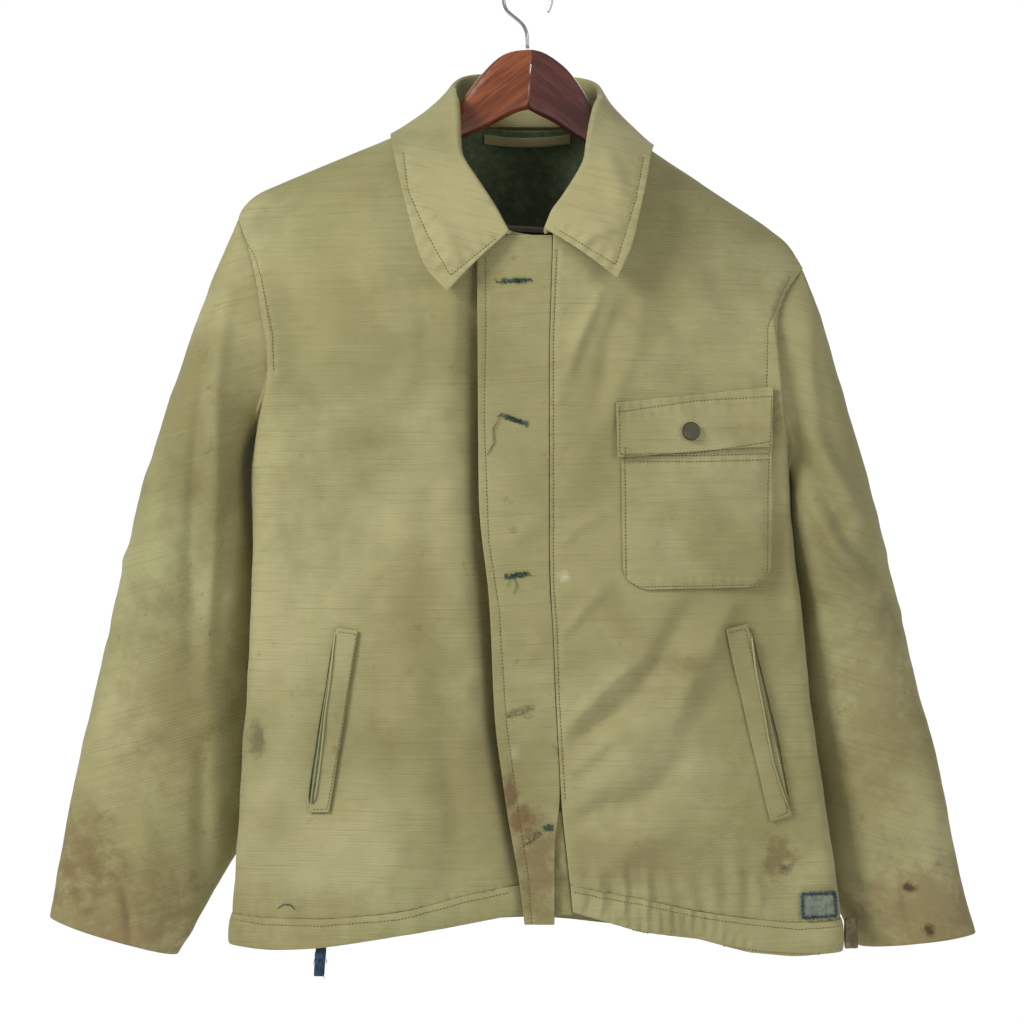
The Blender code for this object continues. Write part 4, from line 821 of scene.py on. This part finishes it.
for mouth in mouths:
    tree = makeTree(mouth["on"])
    shape = bmesh.new()
    rows = []
    for edge, outer in zip(along(mouth["edge"], 4), along(mouth["outer"], 4)):
        spots = []
        for share in (0, 0.25, 0.5, 0.75, 1):
            hit, normal = onCloth(tree, *(edge + (outer - edge) * share))
            spots.append(hit + normal * (0.5 - 0.25 * math.sin(math.pi * share)) * mm)
        rows.append([shape.verts.new(spot) for spot in spots])
        rows[-1].append(shape.verts.new(spots[-1] + Vector((0, 0.9 * mm, 0))))
        rows[-1].insert(0, shape.verts.new(spots[0] + Vector((0, 0.9 * mm, 0))))
    for first, second in zip(rows[:-1], rows[1:]):
        for before, after in zip(range(6), range(1, 7)):
            shape.faces.new((first[before], first[after], second[after], second[before]))
        shape.faces.new((first[6], first[0], second[0], second[6]))
    shape.faces.new(rows[0])
    shape.faces.new(rows[-1][::-1])
    bmesh.ops.recalc_face_normals(shape, faces=shape.faces)
    mesh = bpy.data.meshes.new(mouth["name"])
    shape.to_mesh(mesh)
    shape.free()
    mesh.materials.append(mouth["finish"])
    piece = bpy.data.objects.new(mouth["name"], mesh)
    bpy.context.scene.collection.objects.link(piece)
    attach(piece, "root")
    for key, size in (("edge", 0.85), ("outer", 0.4)):
        spots = []
        for across, drop in along(mouth[key], 5):
            hit, normal = onCloth(tree, across, drop)
            if hit is not None:
                spots.append(hit + normal * (0.9 + 0.25 * math.sin(drop / 9)) * mm)
        threadTube(rolls[key], spots, size * mm, 6)
finishThreads(rolls["edge"], "rolled_welt_edges", cloth["collar"])
finishThreads(rolls["outer"], "pocket_mouth_stitching", seamThread)

# the worn buttonholes: each a clump of frayed stitches about a slit, from its left to its right end
buttonholes = [
    {"ends": [(-27, 207), (4, 206)], "strands": [], "thread": "green"},
    {"ends": [(-24, 318), (0, 326)], "strands": [[(-23, 320), (-29, 330), (-28, 342), (-34, 352)]],
     "thread": "green"},
    {"ends": [(-21, 453), (2, 450)], "thread": "green",
     "strands": [[(-12, 453), (-9, 460), (-12, 467)], [(-14, 452), (-17, 461)]]},
    {"ends": [(-19, 568), (3, 561)], "strands": [[(-8, 564), (-2, 570), (3, 567)]], "thread": "pale"},
    {"ends": [(-5, 674), (11, 666)], "strands": [[(-3, 673), (-9, 680)], [(6, 668), (14, 659)]],
     "thread": "pale"},
    {"ends": [(14, 662), (20, 661)], "strands": [], "thread": "green"}]
fraying = {"across": 22, "lengthwise": 5, "strap": 46, "radius": 0.36}     # threads, and mm
flyTree = makeTree(["fly"])
fray = {"green": bmesh.new(), "pale": bmesh.new()}
for hole in buttonholes:
    (left, leftDrop), (right, rightDrop) = hole["ends"]
    routes = [dict(route=strand, lift=1.2) for strand in hole["strands"]]
    for _ in range(fraying["across"]):
        share = random.random()
        across, drop = left + (right - left) * share, leftDrop + (rightDrop - leftDrop) * share
        lean = random.uniform(-2.2, 2.2)
        tall = random.uniform(1.2, 3.0)
        routes.append(dict(route=[(across - lean, drop - tall), (across + random.uniform(-1, 1), drop),
                                  (across + lean, drop + tall)], lift=random.uniform(0.3, 1.3)))
    for _ in range(fraying["lengthwise"]):
        shift = random.uniform(-1.6, 1.6)
        routes.append(dict(route=[(left + random.uniform(0, 6), leftDrop + shift),
                                  ((left + right) / 2, (leftDrop + rightDrop) / 2 + random.uniform(-2, 2)),
                                  (right - random.uniform(0, 6), rightDrop - shift)],
                           lift=random.uniform(0.6, 1.5)))
    for item in routes:
        spots = []
        for across, drop in item["route"]:
            hit, normal = onCloth(flyTree, across, drop)
            if hit is not None:
                spots.append(hit + normal * item["lift"] * mm)
        if len(spots) > 1:
            threadTube(fray[hole["thread"]], spots, fraying["radius"] * mm)
finishThreads(fray["green"], "green_buttonhole_threads", greenThread)
finishThreads(fray["pale"], "pale_buttonhole_threads", paleThread)

# blue threads: the patch's whipped edge and the strap's frayed end; then loose green threads, among them
# the little arc on the right front
blue = bmesh.new()
patchTree = makeTree(["hook_loop_patch"])
patchEdge = along([(230.5, 720), (258, 719.5), (259.5, 739), (231, 740), (230.5, 720)], 0.8)
for across, drop in patchEdge:
    hit, normal = onCloth(patchTree, across, drop)
    if hit is not None:
        turn = random.uniform(0, 6.28)
        tip = Vector((math.cos(turn), 0, math.sin(turn))) * random.uniform(1.2, 2.6) * mm
        threadTube(blue, [hit - tip + normal * 0.2 * mm, hit + normal * 0.9 * mm,
                          hit + tip + normal * 0.3 * mm], 0.36 * mm, 4)
strapTree = makeTree(["strap_end"])
for _ in range(fraying["strap"]):
    across = -174 + random.uniform(-4.5, 4.5)
    hit, normal = onCloth(strapTree, across, random.uniform(752, 786))
    if hit is not None:
        drop = Vector((random.uniform(-2.5, 2.5), random.uniform(-0.6, 0.6), -random.uniform(3, 8))) * mm
        threadTube(blue, [hit + normal * 0.3 * mm, hit + normal * 0.8 * mm + drop * 0.5, hit + drop],
                   0.34 * mm, 4)
finishThreads(blue, "blue_frayed_threads", blueThread)
loose = bmesh.new()
frontTree = makeTree(["front_right"])
for route in ([(-210, 732), (-205, 728.5), (-199, 729), (-195.5, 733)],
              [(-33, 123), (-36, 127), (-35, 133)]):
    spots = []
    for across, drop in route:
        hit, normal = onCloth(frontTree, across, drop)
        if hit is not None:
            spots.append(hit + normal * 0.6 * mm)
    if len(spots) > 2:
        threadTube(loose, spots, 0.5 * mm)
finishThreads(loose, "loose_green_thread", greenThread)
print("threads made")
